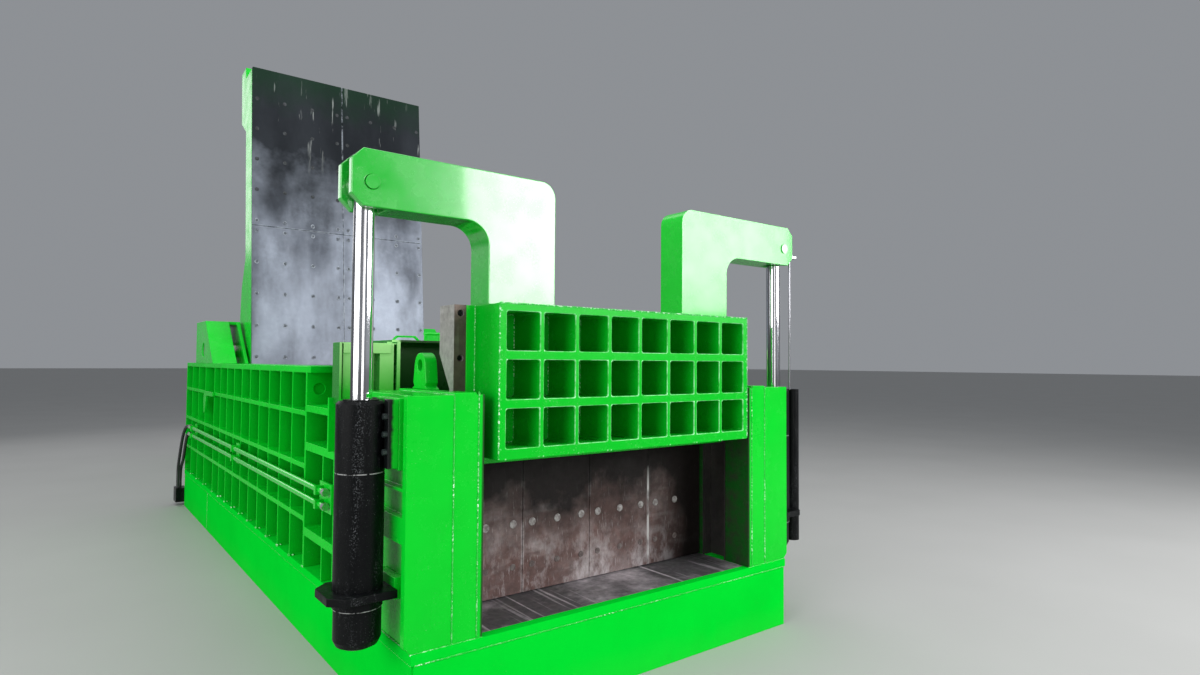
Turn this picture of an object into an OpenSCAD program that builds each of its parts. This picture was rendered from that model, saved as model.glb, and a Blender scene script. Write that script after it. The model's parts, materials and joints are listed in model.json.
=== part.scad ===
// Hydraulic scrap baler, full size, in millimetres, +Z up.
// Origin: on the floor at mid-width, under the front face of the two gate columns.
// The front faces -Y. Drawn with the gate raised, the lid open and the ram forward.

/* [Base] */
// Half of the width over the base and the long walls
half_w = 1213; // [1190:1:1230]
// Height of the base from the floor to its deck
base_h = 395; // [340:1:440]
// Length of the base behind the front of the columns
frame_l = 6200; // [6180:1:6260]
// Thickness of the deck plate
deck_t = 45; // [35:1:60]
// How far the base stands out in front of the columns
ledge = 8; // [4:1:30]
// How far the front plate is set in at each end
front_in = 13; // [5:1:20]
// Thickness of the base's upright plates
skirt_t = 25; // [12:1:40]
// Number of cross ribs in the base
base_ribs = 9; // [6:1:12]
// Thickness of the wear plate let into the deck
floor_t = 20; // [10:1:30]
// Start of the wear plate behind the columns' front
floor_y = 45; // [30:1:60]

/* [Columns] */
// How far a column's inner face stands in from the chamber's lining
col_step = 8; // [4:1:12]
// How far the column's front plate stands out past the long walls
col_lip = 29; // [23:1:37]
// How far the column's side is set in from the long walls
col_set = 8; // [5:1:18]
// Height of a column above the deck
col_h = 1060; // [1020:1:1075]
// Depth of a column
col_d = 620; // [580:1:660]
// Thickness of the column's front plate
col_face_t = 40; // [25:1:60]
// Chamfer at the lower outer corner of the front plate
col_chamfer = 30; // [10:1:60]
// Height of the raised block on the column top
block_h = 10; // [5:1:20]
// Thickness of the steel lining of the gate slot
slot_liner_t = 10; // [6:1:14]
// Clearance of the gate guides in the slot
slot_gap = 8; // [5:1:12]

/* [Gate] */
// Travel of the gate
gate_travel = 715; // [700:1:715]
// Gap between the lowered gate and the deck
sill_gap = 5; // [3:1:10]
// Height of the gate slab
slab_h = 750; // [740:1:790]
// Clearance of the gate slab beside a column
gate_side = 6; // [5:1:9]
// Distance of the slab's front behind the columns' front
slab_y = 203; // [198:1:206]
// Thickness of the gate slab
slab_t = 150; // [130:1:152]
// How far the ribbed box is set in from the slab's edge
grid_in = 47; // [26:1:76]
// Depth of the ribbed box
grid_d = 237; // [200:1:260]
// How far the ribbed box starts above the slab's lower edge
grid_up = 45; // [30:1:80]
// Columns of pockets
grid_cols = 8; // [6:1:10]
// Rows of pockets
grid_rows = 3; // [2:1:4]
// Thickness of the upright ribs between pockets
grid_rib = 22; // [14:1:30]
// Thickness of the shelves between pockets
grid_shelf = 42; // [20:1:50]
// Width of the rims at the sides
grid_side = 35; // [20:1:50]
// Width of the top rim
grid_top = 34; // [20:1:50]
// Width of the bottom rim
grid_bottom = 50; // [30:1:70]
// Weld fillet in the pocket corners
grid_weld = 9; // [4:1:14]
// Width of a guide bar
guide_w = 61; // [50:1:64]
// Thickness of a guide bar
guide_t = 152; // [150:1:154]
// Thickness of the lower end of a guide bar
guide_toe = 40; // [30:1:60]
// Distance from the gate top to the start of the guide's taper
guide_taper_top = 230; // [200:1:260]
// Length of the guide's taper
guide_taper_l = 165; // [120:1:200]
// Pitch of the bolt pockets in the guides
guide_bolt_pitch = 210; // [180:1:212]

/* [Arms] */
// Width of an arm's leg
leg_w = 374; // [340:1:400]
// How far the leg is set in from the slab's edge
leg_edge = 64; // [56:1:96]
// Height of the arm's underside above the gate
leg_h = 380; // [360:1:420]
// Depth of the horizontal part of the arm
arm_h = 245; // [210:1:280]
// How far the arm's end stands out past the lift cylinder's axis
arm_over = 86; // [70:1:86]
// Thickness of the two side plates of an arm
arm_plate_t = 40; // [30:1:50]
// Gap between the side plates
arm_gap = 100; // [95:1:120]
// Thickness of the webs between the side plates
arm_web_t = 25; // [15:1:35]
// Radius of the upper inner corner
arm_r_out = 80; // [60:1:120]
// Radius of the inside corner
arm_r_in = 110; // [80:1:140]
// Chamfers at the arm's end
arm_chamfer = 48; // [30:1:60]
// Height of the pin above the arm's underside
pin_up = 105; // [95:1:125]
// Diameter of the arm pin
pin_d = 60; // [45:1:70]

/* [Lift cylinders] */
// Distance of a lift cylinder's axis outside the long walls
lift_out = 151; // [149:1:167]
// Distance of that axis behind the columns' front
lift_y = 200; // [192:1:208]
// Diameter of the lift rod
lift_rod_d = 90; // [70:1:94]
// Outer diameter of the lift barrel
lift_d = 203; // [190:1:206]
// Bore of the lift barrel
lift_bore = 150; // [130:1:160]
// Height of the barrel's lower end above the floor
lift_foot = 410; // [405:1:430]
// Length of the lift barrel
lift_l = 1022; // [1010:1:1040]
// Height of the lower flange plate above the floor
lift_flange_z = 618; // [600:1:650]
// Thickness of the lower flange plate
lift_flange_t = 34; // [20:1:50]
// Thickness of the bracket plates between column and lift cylinder
lift_seat_t = 40; // [38:1:42]
// Length of the clamp pad at the top of the barrel
pad_l = 290; // [250:1:300]

/* [Long walls] */
// Depth of the ribs outside the wall plate
rib_d = 248; // [238:1:251]
// Thickness of the chamber's side liners
liner_t = 15; // [10:1:20]
// Thickness of the wall plate behind the liners
wall_t = 60; // [40:1:80]
// Height of the walls above the deck
wall_h = 1173; // [1150:1:1180]
// Thickness of the wall's top flange
wall_flange_t = 40; // [25:1:60]
// Start of the wall's rib field
rib_y = 1570; // [1560:1:1580]
// Pitch of the upright ribs
rib_pitch = 296; // [280:1:298]
// Thickness of the upright ribs
rib_t = 14; // [10:1:25]
// Thickness of the long ribs
long_rib_t = 30; // [20:1:40]
// Height of the first long rib above the deck
long_rib_1 = 276; // [240:1:300]
// Height of the second long rib above the deck
long_rib_2 = 583; // [560:1:620]
// Height of the third long rib above the deck
long_rib_3 = 893; // [860:1:930]
// Smallest width of the wide bay
wide_bay = 430; // [400:1:460]
// Pitch of the rear upright ribs
rear_pitch = 395; // [370:1:400]

/* [Press channel] */
// Height of the cover's underside above the deck
cover_z = 750; // [740:1:760]
// Distance of the cover behind the gate slab
cover_gap = 67; // [40:1:90]
// Distance of the portal behind the columns' front
portal_y = 930; // [900:1:960]
// Depth of the portal's end boxes
portal_d = 112; // [90:1:140]
// Height of the portal's end boxes
portal_h = 291; // [260:1:300]

/* [Ram] */
// Clearance of the ram beside a column
ram_side = 8; // [4:1:22]
// Distance of the ram's face behind the columns' front
ram_y = 395; // [385:1:410]
// Length of the ram
ram_l = 1000; // [950:1:1010]
// Height of the ram
ram_h = 720; // [700:1:724]
// Clearance under the ram
ram_gap = 5; // [3:1:8]
// Thickness of the face plates
face_t = 40; // [25:1:60]
// Gap between the drawn-back ram's rod flange and the crosshead
ram_rest_gap = 10; // [5:1:100]
// Diameter of the main rod
main_rod_d = 230; // [200:1:250]
// Outer diameter of the main barrel
main_d = 430; // [410:1:460]
// Bore of the main barrel
main_bore = 330; // [300:1:340]
// Depth of the crosshead that carries the main cylinder
cross_d = 350; // [300:1:360]

/* [Lid] */
// Clearance of the lid beside the chamber's lining
lid_side = 8; // [6:1:12]
// Opening angle of the lid
lid_open = 95.17; // [90:0.01:98]
// Distance of the hinge in front of the base's rear end
hinge_back = 1017; // [1000:1:1030]
// Height of the hinge above the deck
hinge_up = 1305; // [1300:1:1320]
// Distance from the hinge to the lid's lined face
lid_drop = 536; // [530:1:540]
// Thickness of the lid
lid_t = 305; // [280:1:320]
// Length of the lid in front of the hinge
lid_reach = 2818; // [2790:1:2830]
// Length of the lid behind the hinge
lid_back = 195; // [170:1:200]
// Thickness of the lid's lining plates
lid_liner_t = 40; // [25:1:50]
// Distance from the hinge to the seam between the upper and lower lining plates
lid_seam = 1187; // [1100:1:1250]
// Diameter of the hinge pins
hinge_d = 140; // [110:1:160]
// Distance from mid-plane to the lid cylinders
lid_cyl_x = 550; // [500:1:600]
// Distance from the hinge to the horn pin
horn_r = 380; // [360:1:400]
// Angle of the horn pin above the rear horizontal, lid open
horn_a = 50; // [45:1:55]
// Distance of the rear anchor behind the base's rear end
anchor_over = 280; // [273:1:313]
// Diameter of the lid cylinders
lid_cyl_d = 180; // [160:1:200]

/* [Hidden] */
$fn = 48;

// Clearances: sliding fits, loose fits, and cuts that pass right through
run = 0.05;
loose = 0.3;
cut = 1;

// Colours
green = [0.03, 0.75, 0.18];
dark_green = [0.02, 0.45, 0.12];
black = [0.05, 0.05, 0.06];
raw_steel = [0.33, 0.27, 0.24];
dark_steel = [0.22, 0.23, 0.26];
bright_steel = [0.75, 0.76, 0.78];

// Widths, from the long walls inwards and outwards
wall_out = half_w - rib_d;
wall_in = wall_out - wall_t;
chamber_half = wall_in - liner_t;
col_in = chamber_half - col_step;
col_out = half_w + col_lip;
col_side = half_w - col_set;
slab_half = col_in - gate_side;
grid_half = slab_half - grid_in;
leg_out = slab_half - leg_edge;
leg_in = leg_out - leg_w;
ram_half = col_in - ram_side;
lid_half = chamber_half - lid_side;
lift_x = half_w + lift_out;

// Levels and lengths
col_top = base_h + col_h;
wall_top = base_h + wall_h;
hinge_y = frame_l - hinge_back;
bay_top = base_h + 1005;
bay_deck_t = 25;
post_rise = 5;
gate_bottom = base_h + sill_gap + gate_travel;
gate_top = gate_bottom + slab_h;
slab_back = slab_y + slab_t;
hinge_z = base_h + hinge_up;
lid_face = -lid_drop;
lid_rear = lid_face + lid_t;

// Gate slot, cut round the guides with room for its lining
slot_y0 = slab_y - slot_gap;
slot_y1 = slab_y + guide_t + slot_gap;
slot_x = slab_half + guide_w + slot_gap;

// Raised block on the column and the lifting lug on it
block_x0 = col_in + 41;
block_x1 = block_x0 + 106;
lug_t = 64;
lug_y = 470;
lug_r = 62;
lug_hole_d = 56;
lug_rise = 115;
lug_flare = 30;

// Ribbed box on the gate
grid_h = slab_h - grid_up;
pocket_w = (2 * (grid_half - grid_side) - (grid_cols - 1) * grid_rib) / grid_cols;
pocket_h = (grid_h - grid_top - grid_bottom - (grid_rows - 1) * grid_shelf) / grid_rows;
guide_bolt_d = 32;
guide_bolt_depth = 20;
guide_bolt_in = 28;
guide_bolt_down = 39;

// Arms
arm_under = gate_top + leg_h;
arm_top = arm_under + arm_h;
arm_end = lift_x + arm_over;
arm_y0 = lift_y - arm_gap / 2 - arm_plate_t;
arm_y1 = lift_y + arm_gap / 2 + arm_plate_t;
pin_z = arm_under + pin_up;
pin_proud = 6;

// Lift cylinders
lift_top = lift_foot + lift_l;
lift_cap_t = 30;
lift_neck_z = 165;
lift_neck_d = lift_d - 8;
lift_ring_z = 723;
lift_chamfer = 12;
gland_l = 70;
gland_proud = 5;
lift_piston_t = 90;
lift_eye_r = 68;
lift_eye_t = 84;
seat_x = col_side + lift_seat_t;
pad_z0 = lift_top - pad_l + 8;
pad_half = 122;
pad_depth = 46;
pad_bolt_in = 16;

// Thin rod beside the right-hand lift cylinder, and its guide tube
thin_d = 12;
tube_d = 90;
tube_bore = 74;
tube_x = lift_x + lift_d / 2 + tube_d / 2 + cut;
thin_x = tube_x - 22;
thin_y = 165;
tube_z0 = 440;

// Cover of the press channel, up to the reach of the swinging lid
cover_y0 = slab_back + cover_gap;
cover_y1 = hinge_y - norm([lid_reach, lid_drop]) - 12;
cover_bottom = base_h + cover_z;
cover_t = 50;
cover_top = hinge_z + lid_rear - 40;
portal_x0 = chamber_half + 28;
portal_top = bay_top + portal_h;
portal_beam = 50;
portal_deck_t = 12;
portal_deck_l = 300;
deck_z = portal_top + 15;

// Upright ribs of the long walls
rear_n = 3;
rear_y = frame_l - rib_t - rear_n * rear_pitch;
rib_n = floor((rear_y - wide_bay - rib_y) / rib_pitch) + 1;
wide_y = rib_y + (rib_n - 1) * rib_pitch;
rib_ys = concat([for (k = [0:rib_n - 1]) rib_y + k * rib_pitch],
    [for (k = [0:rear_n]) rear_y + k * rear_pitch]);
long_zs = [base_h + long_rib_1, base_h + long_rib_2, base_h + long_rib_3];
flange_y = rib_y - 81;
rib_front = [1026, 1215];

// Stepped bay in front of the rib field
shelf_y = 1020;
post_t = 20;
post_end = shelf_y + post_t;
low_deck_z = [base_h + 905, base_h + 944];

// Ram and main cylinder
ram_z0 = base_h + ram_gap;
ram_top = ram_z0 + ram_h;
main_z = ram_z0 + ram_h / 2;
ram_back = ram_y + ram_l;
cross_y = frame_l - cross_d;
rod_flange_t = 45;
ram_stroke = cross_y - ram_back - rod_flange_t - ram_rest_gap;
cross_front_t = 80;
cross_rear_t = 120;
main_flange_d = 680;
main_flange_t = 100;
main_end_t = 100;
main_gland_l = 130;
main_piston_t = 180;
main_piston_y = frame_l + main_gland_l + 30;
main_l = main_gland_l + 60 + main_piston_t + ram_stroke + main_end_t;
main_bolt_n = 16;
main_bolt_d = 42;
main_bolt_ring = 592;
stand_y = frame_l + 4000;
stand_w = 340;
stand_d = 160;

// Lid, its hinge and its cylinders
lid_plate_t = 50;
lid_ear_l = 700;
lid_ear_h = 200;
lid_ear_over = 120;
lid_arm_t = 70;
lid_arm_x = lid_half - lid_arm_t - 10;
lid_arm_r = 130;
ped_x0 = half_w - 207;
ped_t = 30;
ped_h = 417;
ped_front = hinge_y - 533;
ped_slope = 450;
ped_back = hinge_y + 437;
horn_t = 30;
horn_gap = 60;
horn_boss = 70;
horn_pin_d = 72;
eye_t = 54;
anchor_y = frame_l + anchor_over;
anchor_z = hinge_z;
anchor_pin_d = 72;
open_pin = [hinge_y + horn_r * cos(horn_a), hinge_z + horn_r * sin(horn_a)];
shut_pin = [hinge_y + horn_r * cos(horn_a + lid_open),
    hinge_z + horn_r * sin(horn_a + lid_open)];
cyl_short = norm(open_pin - [anchor_y, anchor_z]);
cyl_long = norm(shut_pin - [anchor_y, anchor_z]);
cyl_tilt = atan2(open_pin[1] - anchor_z, anchor_y - open_pin[0]);
cyl_stroke = cyl_long - cyl_short;
cyl_wall = 20;
cyl_rear = 140;
cyl_rod_d = 90;
cyl_piston_t = 70;
cyl_gland_l = 70;
cyl_l = cyl_rear + 40 + cyl_stroke + cyl_piston_t + 40 + cyl_gland_l;
yoke_slide = 60;
yoke_lift = 112;
yoke_wall = 42;
yoke_tail = 75;

// Pipes along the left wall and the hoses at their rear ends
pipe_d = 32;
pipe_x = -half_w - 34;
pipe_zs = [905, 830];
plate_over = 40;
pipe_y0 = rib_front[0] + 54;
fitting_d = 42;
fitting_l = 70;
hose_d = 30;
hose_block_x = -half_w - 77;
hose_block_w = 100;
hose_block_l = 180;
hose_upper_way = [[-1247, 5670, 905], [-1247, 5700, 905], [-1247, 5730, 905],
    [-1252, 5880, 880], [-1260, 6020, 780], [-1266, 6140, 600], [-1268, 6250, 420],
    [-1268, 6260, 280], [-1268, 6260, 235], [-1268, 6260, 190]];
hose_lower_way = [[-1247, 5670, 830], [-1247, 5700, 830], [-1247, 5730, 830],
    [-1246, 5840, 790], [-1244, 5960, 680], [-1240, 6110, 520], [-1236, 6290, 400],
    [-1236, 6325, 280], [-1236, 6325, 235], [-1236, 6325, 190]];
pipe_y1 = hose_upper_way[0][1] - fitting_l;

// A box between two values on each axis
module slab(x, y, z) {
    translate([x[0], y[0], z[0]])
        cube([x[1] - x[0], y[1] - y[0], z[1] - z[0]]);
}

// The same thing on both sides of the mid-plane
module both() {
    children();
    mirror([1, 0, 0]) children();
}

// A flat shape drawn in Y and Z, given a thickness along X
module across(x0, x1) {
    translate([x0, 0, 0]) rotate([90, 0, 90]) linear_extrude(x1 - x0) children();
}

// A flat shape drawn in X and Z, given a thickness along Y
module along(y0, y1) {
    translate([0, y1, 0]) rotate([90, 0, 0]) linear_extrude(y1 - y0) children();
}

// Round bars along each axis
module bar_x(x0, x1, y, z, d) {
    translate([x0, y, z]) rotate([0, 90, 0]) cylinder(d = d, h = x1 - x0);
}
module bar_y(x, y0, y1, z, d) {
    translate([x, y1, z]) rotate([90, 0, 0]) cylinder(d = d, h = y1 - y0);
}

// A rectangular window with welded corners
module window(w, h, c) {
    polygon([[c, 0], [w - c, 0], [w, c], [w, h - c], [w - c, h], [c, h], [0, h - c], [0, c]]);
}

function arc(c, r, a0, a1, n = 10) =
    [for (i = [0:n]) c + r * [cos(a0 + (a1 - a0) * i / n), sin(a0 + (a1 - a0) * i / n)]];

// Base

module base_frame() {
    low = base_h - deck_t;
    skirt_in = 4;
    web_x = half_w / 3;
    color(green) difference() {
        union() {
            slab([-half_w, half_w], [-ledge, frame_l], [low, base_h]);
            slab([-half_w + front_in, half_w - front_in], [-ledge, skirt_t], [0, low]);
            slab([-half_w + skirt_in, half_w - skirt_in], [frame_l - skirt_t, frame_l],
                [0, low]);
            both() {
                slab([half_w - skirt_in - skirt_t, half_w - skirt_in], [0, frame_l], [0, low]);
                slab([web_x, web_x + skirt_t], [0, frame_l], [0, low]);
            }
            for (i = [1:base_ribs])
                slab([-half_w + skirt_in, half_w - skirt_in],
                    [i * frame_l / (base_ribs + 1), i * frame_l / (base_ribs + 1) + skirt_t],
                    [0, low]);
        }
        slab([-col_in, col_in], [floor_y, cross_y], [base_h - floor_t, base_h + cut]);
    }
}

module floor_plate() {
    color(dark_steel) slab([-col_in, col_in], [floor_y, cross_y], [base_h - floor_t, base_h]);
}

// Columns

module column() {
    rib_zs = [[443, 553], [659, 673]];
    difference() {
        union() {
            along(0, col_face_t)
                polygon([[col_in, base_h], [col_out - col_chamfer, base_h],
                    [col_out, base_h + col_chamfer], [col_out, col_top], [col_in, col_top]]);
            slab([col_in, col_side], [0, col_d], [base_h, col_top]);
            slab([block_x0, block_x1], [0, col_d], [base_h, col_top + block_h]);
            slab([col_side, half_w], [col_d - col_face_t, col_d], [base_h, col_top]);
            for (z = rib_zs)
                slab([col_side, col_out], [col_face_t, col_d], [base_h + z[0], base_h + z[1]]);
        }
        slab([col_in - cut, slot_x + slot_liner_t],
            [slot_y0 - slot_liner_t, slot_y1 + slot_liner_t],
            [base_h - cut, col_top + block_h + cut]);
    }
}
module left_column() { color(green) mirror([1, 0, 0]) column(); }
module right_column() { color(green) column(); }

module slot_liners() {
    color(raw_steel) both() difference() {
        slab([col_in, slot_x + slot_liner_t], [slot_y0 - slot_liner_t, slot_y1 + slot_liner_t],
            [base_h, col_top]);
        slab([col_in - cut, slot_x], [slot_y0, slot_y1], [base_h - cut, col_top + cut]);
    }
}

module lifting_lugs() {
    foot = col_top + block_h;
    top = [lug_y, foot + lug_rise];
    front = slot_y1 + slot_liner_t + 2;
    back = 2 * lug_y - front;
    color(green) both() difference() {
        across(block_x0, block_x0 + lug_t)
            polygon(concat([[back, foot], [back - lug_flare, foot + lug_flare / 2],
                [lug_y + lug_r + 14, foot + lug_flare]], arc(top, lug_r, 10, 170),
                [[lug_y - lug_r - 14, foot + lug_flare],
                [front + lug_flare, foot + lug_flare / 2], [front, foot]]));
        bar_x(block_x0 - cut, block_x0 + lug_t + cut, top[0], top[1], lug_hole_d);
    }
}

// Long walls

module wall_ribs() {
    zs = concat([base_h], long_zs, [wall_top - wall_flange_t]);
    half_rib = long_rib_t / 2;
    difference() {
        translate([rib_y, base_h])
            square([frame_l - rib_y, wall_h - wall_flange_t]);
        for (i = [0:len(rib_ys) - 2])
            for (j = [0:len(zs) - 2]) {
                z0 = zs[j] + (j == 0 ? 0 : half_rib);
                z1 = zs[j + 1] - (j == len(zs) - 2 ? 0 : half_rib);
                translate([rib_ys[i] + rib_t, z0])
                    window(rib_ys[i + 1] - rib_ys[i] - rib_t, z1 - z0, grid_weld);
            }
        translate([wide_y + rib_t, long_zs[1] + half_rib])
            window(rear_y - wide_y - rib_t, wall_top - wall_flange_t - long_zs[1] - half_rib,
                grid_weld);
    }
}

module long_wall() {
    slab([wall_in, wall_out], [col_d, flange_y], [base_h, bay_top - bay_deck_t]);
    slab([wall_in, wall_out], [flange_y, frame_l], [base_h, wall_top - wall_flange_t]);
    across(wall_out, half_w) wall_ribs();
    slab([wall_in, half_w], [flange_y, frame_l], [wall_top - wall_flange_t, wall_top]);
}
module left_wall() { color(green) mirror([1, 0, 0]) long_wall(); }
module right_wall() { color(green) long_wall(); }

module wall_liners() {
    color(dark_steel) both() {
        slab([chamber_half, wall_in], [col_d, flange_y], [base_h, bay_top - bay_deck_t]);
        slab([chamber_half, wall_in], [flange_y, cross_y], [base_h, wall_top - wall_flange_t]);
    }
}

// Stepped part of the wall between the column and the rib field
module front_bay() {
    shelf_z = [680, 727];
    low_z = [185, 235];
    eye = [half_w - 72, 1432];
    eye_d = 68;
    post_x = 35;
    bay_in = 60;
    slab([wall_in, half_w], [col_d, post_end], [bay_top - bay_deck_t, bay_top]);
    slab([wall_in, wall_out], [post_end, flange_y], [bay_top - bay_deck_t, bay_top]);
    slab([wall_out, half_w], [post_end, rib_y - rib_t], low_deck_z);
    slab([wall_out, half_w], [shelf_y, rib_y - rib_t], [base_h + shelf_z[0], base_h + shelf_z[1]]);
    slab([wall_out, half_w], [col_d, rib_y - rib_t], [base_h + low_z[0], base_h + low_z[1]]);
    slab([wall_out, half_w - bay_in], [col_d, shelf_y],
        [base_h + low_z[1], bay_top - bay_deck_t]);
    for (y = rib_front)
        slab([wall_out, half_w], [y, y + rib_t], [base_h, base_h + shelf_z[0]]);
    slab([half_w, half_w + post_x], [shelf_y, post_end], [base_h + shelf_z[1], bay_top + post_rise]);
    slab([wall_out, half_w], [shelf_y, post_end], [base_h + shelf_z[1], bay_top]);
    difference() {
        slab([wall_out, half_w], [rib_y - rib_t, rib_y], [base_h, wall_top - wall_flange_t]);
        bar_y(eye[0], rib_y - rib_t - cut, rib_y + cut, eye[1], eye_d);
    }
}
module left_front_bay() { color(green) mirror([1, 0, 0]) front_bay(); }
module right_front_bay() { color(green) front_bay(); }

// Cover of the press channel

module channel_cover() {
    skin = cover_top;
    rib_count = 4;
    step = (cover_y1 - portal_y - cover_t) / (rib_count + 1);
    front_top = col_top - 20;
    color(dark_green) union() {
        slab([-col_in, col_in], [cover_y0, col_d], [cover_bottom, cover_bottom + cover_t]);
        slab([-chamber_half, chamber_half], [col_d, cover_y1],
            [cover_bottom, cover_bottom + cover_t]);
        slab([-col_in, col_in], [cover_y0, cover_y0 + cover_t], [cover_bottom, front_top]);
        slab([-chamber_half, chamber_half], [portal_y, portal_y + cover_t],
            [cover_bottom, skin]);
        slab([-chamber_half, chamber_half], [cover_y1 - cover_t, cover_y1], [cover_bottom, skin]);
        for (i = [1:rib_count])
            slab([-chamber_half, chamber_half],
                [portal_y + i * step, portal_y + i * step + skirt_t], [cover_bottom, skin]);
        for (x = [-chamber_half, -skirt_t / 2, chamber_half - skirt_t])
            slab([x, x + skirt_t], [col_d, cover_y1], [cover_bottom, skin]);
        for (x = [-600, -200, 200, 600])
            slab([x - skirt_t / 2, x + skirt_t / 2], [cover_y0, portal_y],
                [cover_bottom, front_top]);
    }
}

module cover_portal() {
    beam_z = portal_top - portal_beam;
    deck_y = portal_y + 70;
    deck_x = portal_x0 + 2;
    front_t = 20;
    back_y = portal_y + portal_d - front_t;
    plate_t = 13;
    rim_t = 6;
    outer_post = [half_w - 53, half_w - 7];
    inner_post = [portal_x0 + 14, portal_x0 + 92];
    color(green) {
        both() {
            slab([portal_x0 + 34, outer_post[1]], [portal_y, portal_y + front_t],
                [beam_z, portal_top]);
            slab(outer_post, [portal_y + 8, back_y], [bay_top, portal_top]);
            translate([0, 0, bay_top]) linear_extrude(portal_h)
                polygon([[inner_post[0], portal_y + 8], [inner_post[1], portal_y + 8],
                    [inner_post[1], back_y], [portal_x0, back_y], [portal_x0, portal_y + 50]]);
            slab([portal_x0, half_w], [back_y, portal_y + portal_d], [bay_top, portal_top]);
            slab([portal_x0, half_w], [portal_y + front_t / 2, portal_y + portal_d],
                [portal_top, portal_top + rim_t]);
            across(half_w, half_w + plate_t)
                polygon([[portal_y, bay_top - bay_deck_t], [shelf_y, bay_top - bay_deck_t],
                    [shelf_y, bay_top + post_rise], [portal_y + portal_d, bay_top + post_rise],
                    [portal_y + portal_d, portal_top + rim_t], [portal_y, portal_top + rim_t]]);
            across(portal_x0 - 20, portal_x0)
                polygon([[portal_y, deck_z], [portal_y, bay_top], [portal_y + 260, bay_top],
                    [portal_y + 160, deck_z]]);
            slab([portal_x0 - 20, portal_x0 + 30], [deck_y, portal_y + portal_d],
                [portal_top, deck_z]);
        }
        slab([-deck_x, deck_x], [deck_y, deck_y + portal_deck_l],
            [deck_z, deck_z + portal_deck_t]);
        slab([-chamber_half, chamber_half], [deck_y + 100, deck_y + 140],
            [cover_top, deck_z]);
    }
}

// A handle of flat bar bent to a low arch, and a square one
module arch(x0, x1, y, z, h, t) {
    along(y - t, y + t) polygon([[x0, z], [x0 + h, z + h], [x1 - h, z + h], [x1, z],
        [x1 - t, z], [x1 - h - t / 2, z + h - t], [x0 + h + t / 2, z + h - t], [x0 + t, z]]);
}
module handle(x0, x1, y, z, h, d) {
    translate([x0, y, z]) cylinder(d = d, h = h);
    translate([x1, y, z]) cylinder(d = d, h = h);
    bar_x(x0 - d / 2, x1 + d / 2, y, z + h, d);
}

module cover_handles() {
    z = deck_z + portal_deck_t;
    color(green) both() {
        arch(740, 900, portal_y + 120, z, 26, 10);
        handle(590, 680, portal_y + 170, z, 44, 18);
    }
}

// Lid hinge

module pedestal() {
    foot = wall_top;
    top = foot + ped_h;
    outline = [[ped_front, foot], [ped_front + ped_slope, top], [ped_back, top],
        [ped_back, foot]];
    slope = [[ped_front, foot], [ped_front + ped_slope, top], [ped_front + ped_slope + 40, top],
        [ped_front + 40, foot]];
    difference() {
        union() {
            for (x = [wall_in, ped_x0, half_w - ped_t])
                across(x, x + ped_t) polygon(outline);
            across(ped_x0, half_w) polygon(slope);
            slab([ped_x0, half_w], [ped_back - ped_t, ped_back], [foot, top]);
            slab([wall_in, half_w], [ped_front + ped_slope, ped_back], [top - ped_t, top]);
            bar_x(ped_x0 - 40, ped_x0 + ped_t + 30, hinge_y, hinge_z, hinge_d + 90);
            bar_x(half_w - ped_t - 30, half_w, hinge_y, hinge_z, hinge_d + 90);
        }
        bar_x(wall_in - cut, half_w + cut, hinge_y, hinge_z, hinge_d + 2 * loose);
    }
}
module left_pedestal() { color(green) mirror([1, 0, 0]) pedestal(); }
module right_pedestal() { color(green) pedestal(); }

module lid_hinge_pins() {
    color(bright_steel) both()
        bar_x(lid_arm_x - 15, half_w - 12, hinge_y, hinge_z, hinge_d);
}

// Crosshead and main cylinder

module crosshead() {
    w = wall_in;
    web_x = 420;
    nose_d = main_bore;
    color(dark_green) difference() {
        union() {
            slab([-w, w], [cross_y, cross_y + cross_front_t], [base_h, wall_top]);
            slab([-w, w], [frame_l - cross_rear_t, frame_l], [base_h, wall_top]);
            slab([-w, w], [cross_y, frame_l], [wall_top - wall_flange_t, wall_top]);
            slab([-w, w], [cross_y, frame_l], [base_h, base_h + wall_flange_t]);
            bar_y(0, cross_y, frame_l, main_z, nose_d + 120);
            for (x = [-web_x, web_x])
                slab([x - skirt_t, x + skirt_t], [cross_y, frame_l], [base_h, wall_top]);
        }
        bar_y(0, cross_y - cut, frame_l + cut, main_z, main_rod_d + 60);
    }
}

module main_barrel() {
    r = main_d / 2;
    b = main_bore / 2;
    fr = main_flange_d / 2;
    color(dark_green) translate([0, frame_l, main_z]) rotate([-90, 0, 0]) difference() {
        rotate_extrude($fn = 96)
            polygon([[b, 0], [fr, 0], [fr, main_flange_t], [r + 40, main_flange_t],
                [r, main_flange_t + 60], [r, main_l - 60], [r - 60, main_l], [0, main_l],
                [0, main_l - main_end_t], [b, main_l - main_end_t]]);
        for (i = [0:main_bolt_n - 1])
            rotate([0, 0, (i + 0.5) * 360 / main_bolt_n])
                translate([main_bolt_ring / 2, 0, -cut])
                    cylinder(d = main_bolt_d + 2 * loose, h = main_flange_t + 2 * cut);
    }
}

module main_gland() {
    color(bright_steel) difference() {
        bar_y(0, frame_l, frame_l + main_gland_l, main_z, main_bore - 2 * loose);
        bar_y(0, frame_l - cut, frame_l + main_gland_l + cut, main_z, main_rod_d + 2 * run);
    }
}

module main_flange_bolts() {
    head_t = 34;
    color(black) translate([0, frame_l, main_z]) rotate([-90, 0, 0])
        for (i = [0:main_bolt_n - 1])
            rotate([0, 0, (i + 0.5) * 360 / main_bolt_n]) translate([main_bolt_ring / 2, 0, 0]) {
                cylinder(d = main_bolt_d, h = main_flange_t);
                translate([0, 0, main_flange_t]) cylinder(d = main_bolt_d * 1.7, h = head_t, $fn = 6);
            }
}

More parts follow.
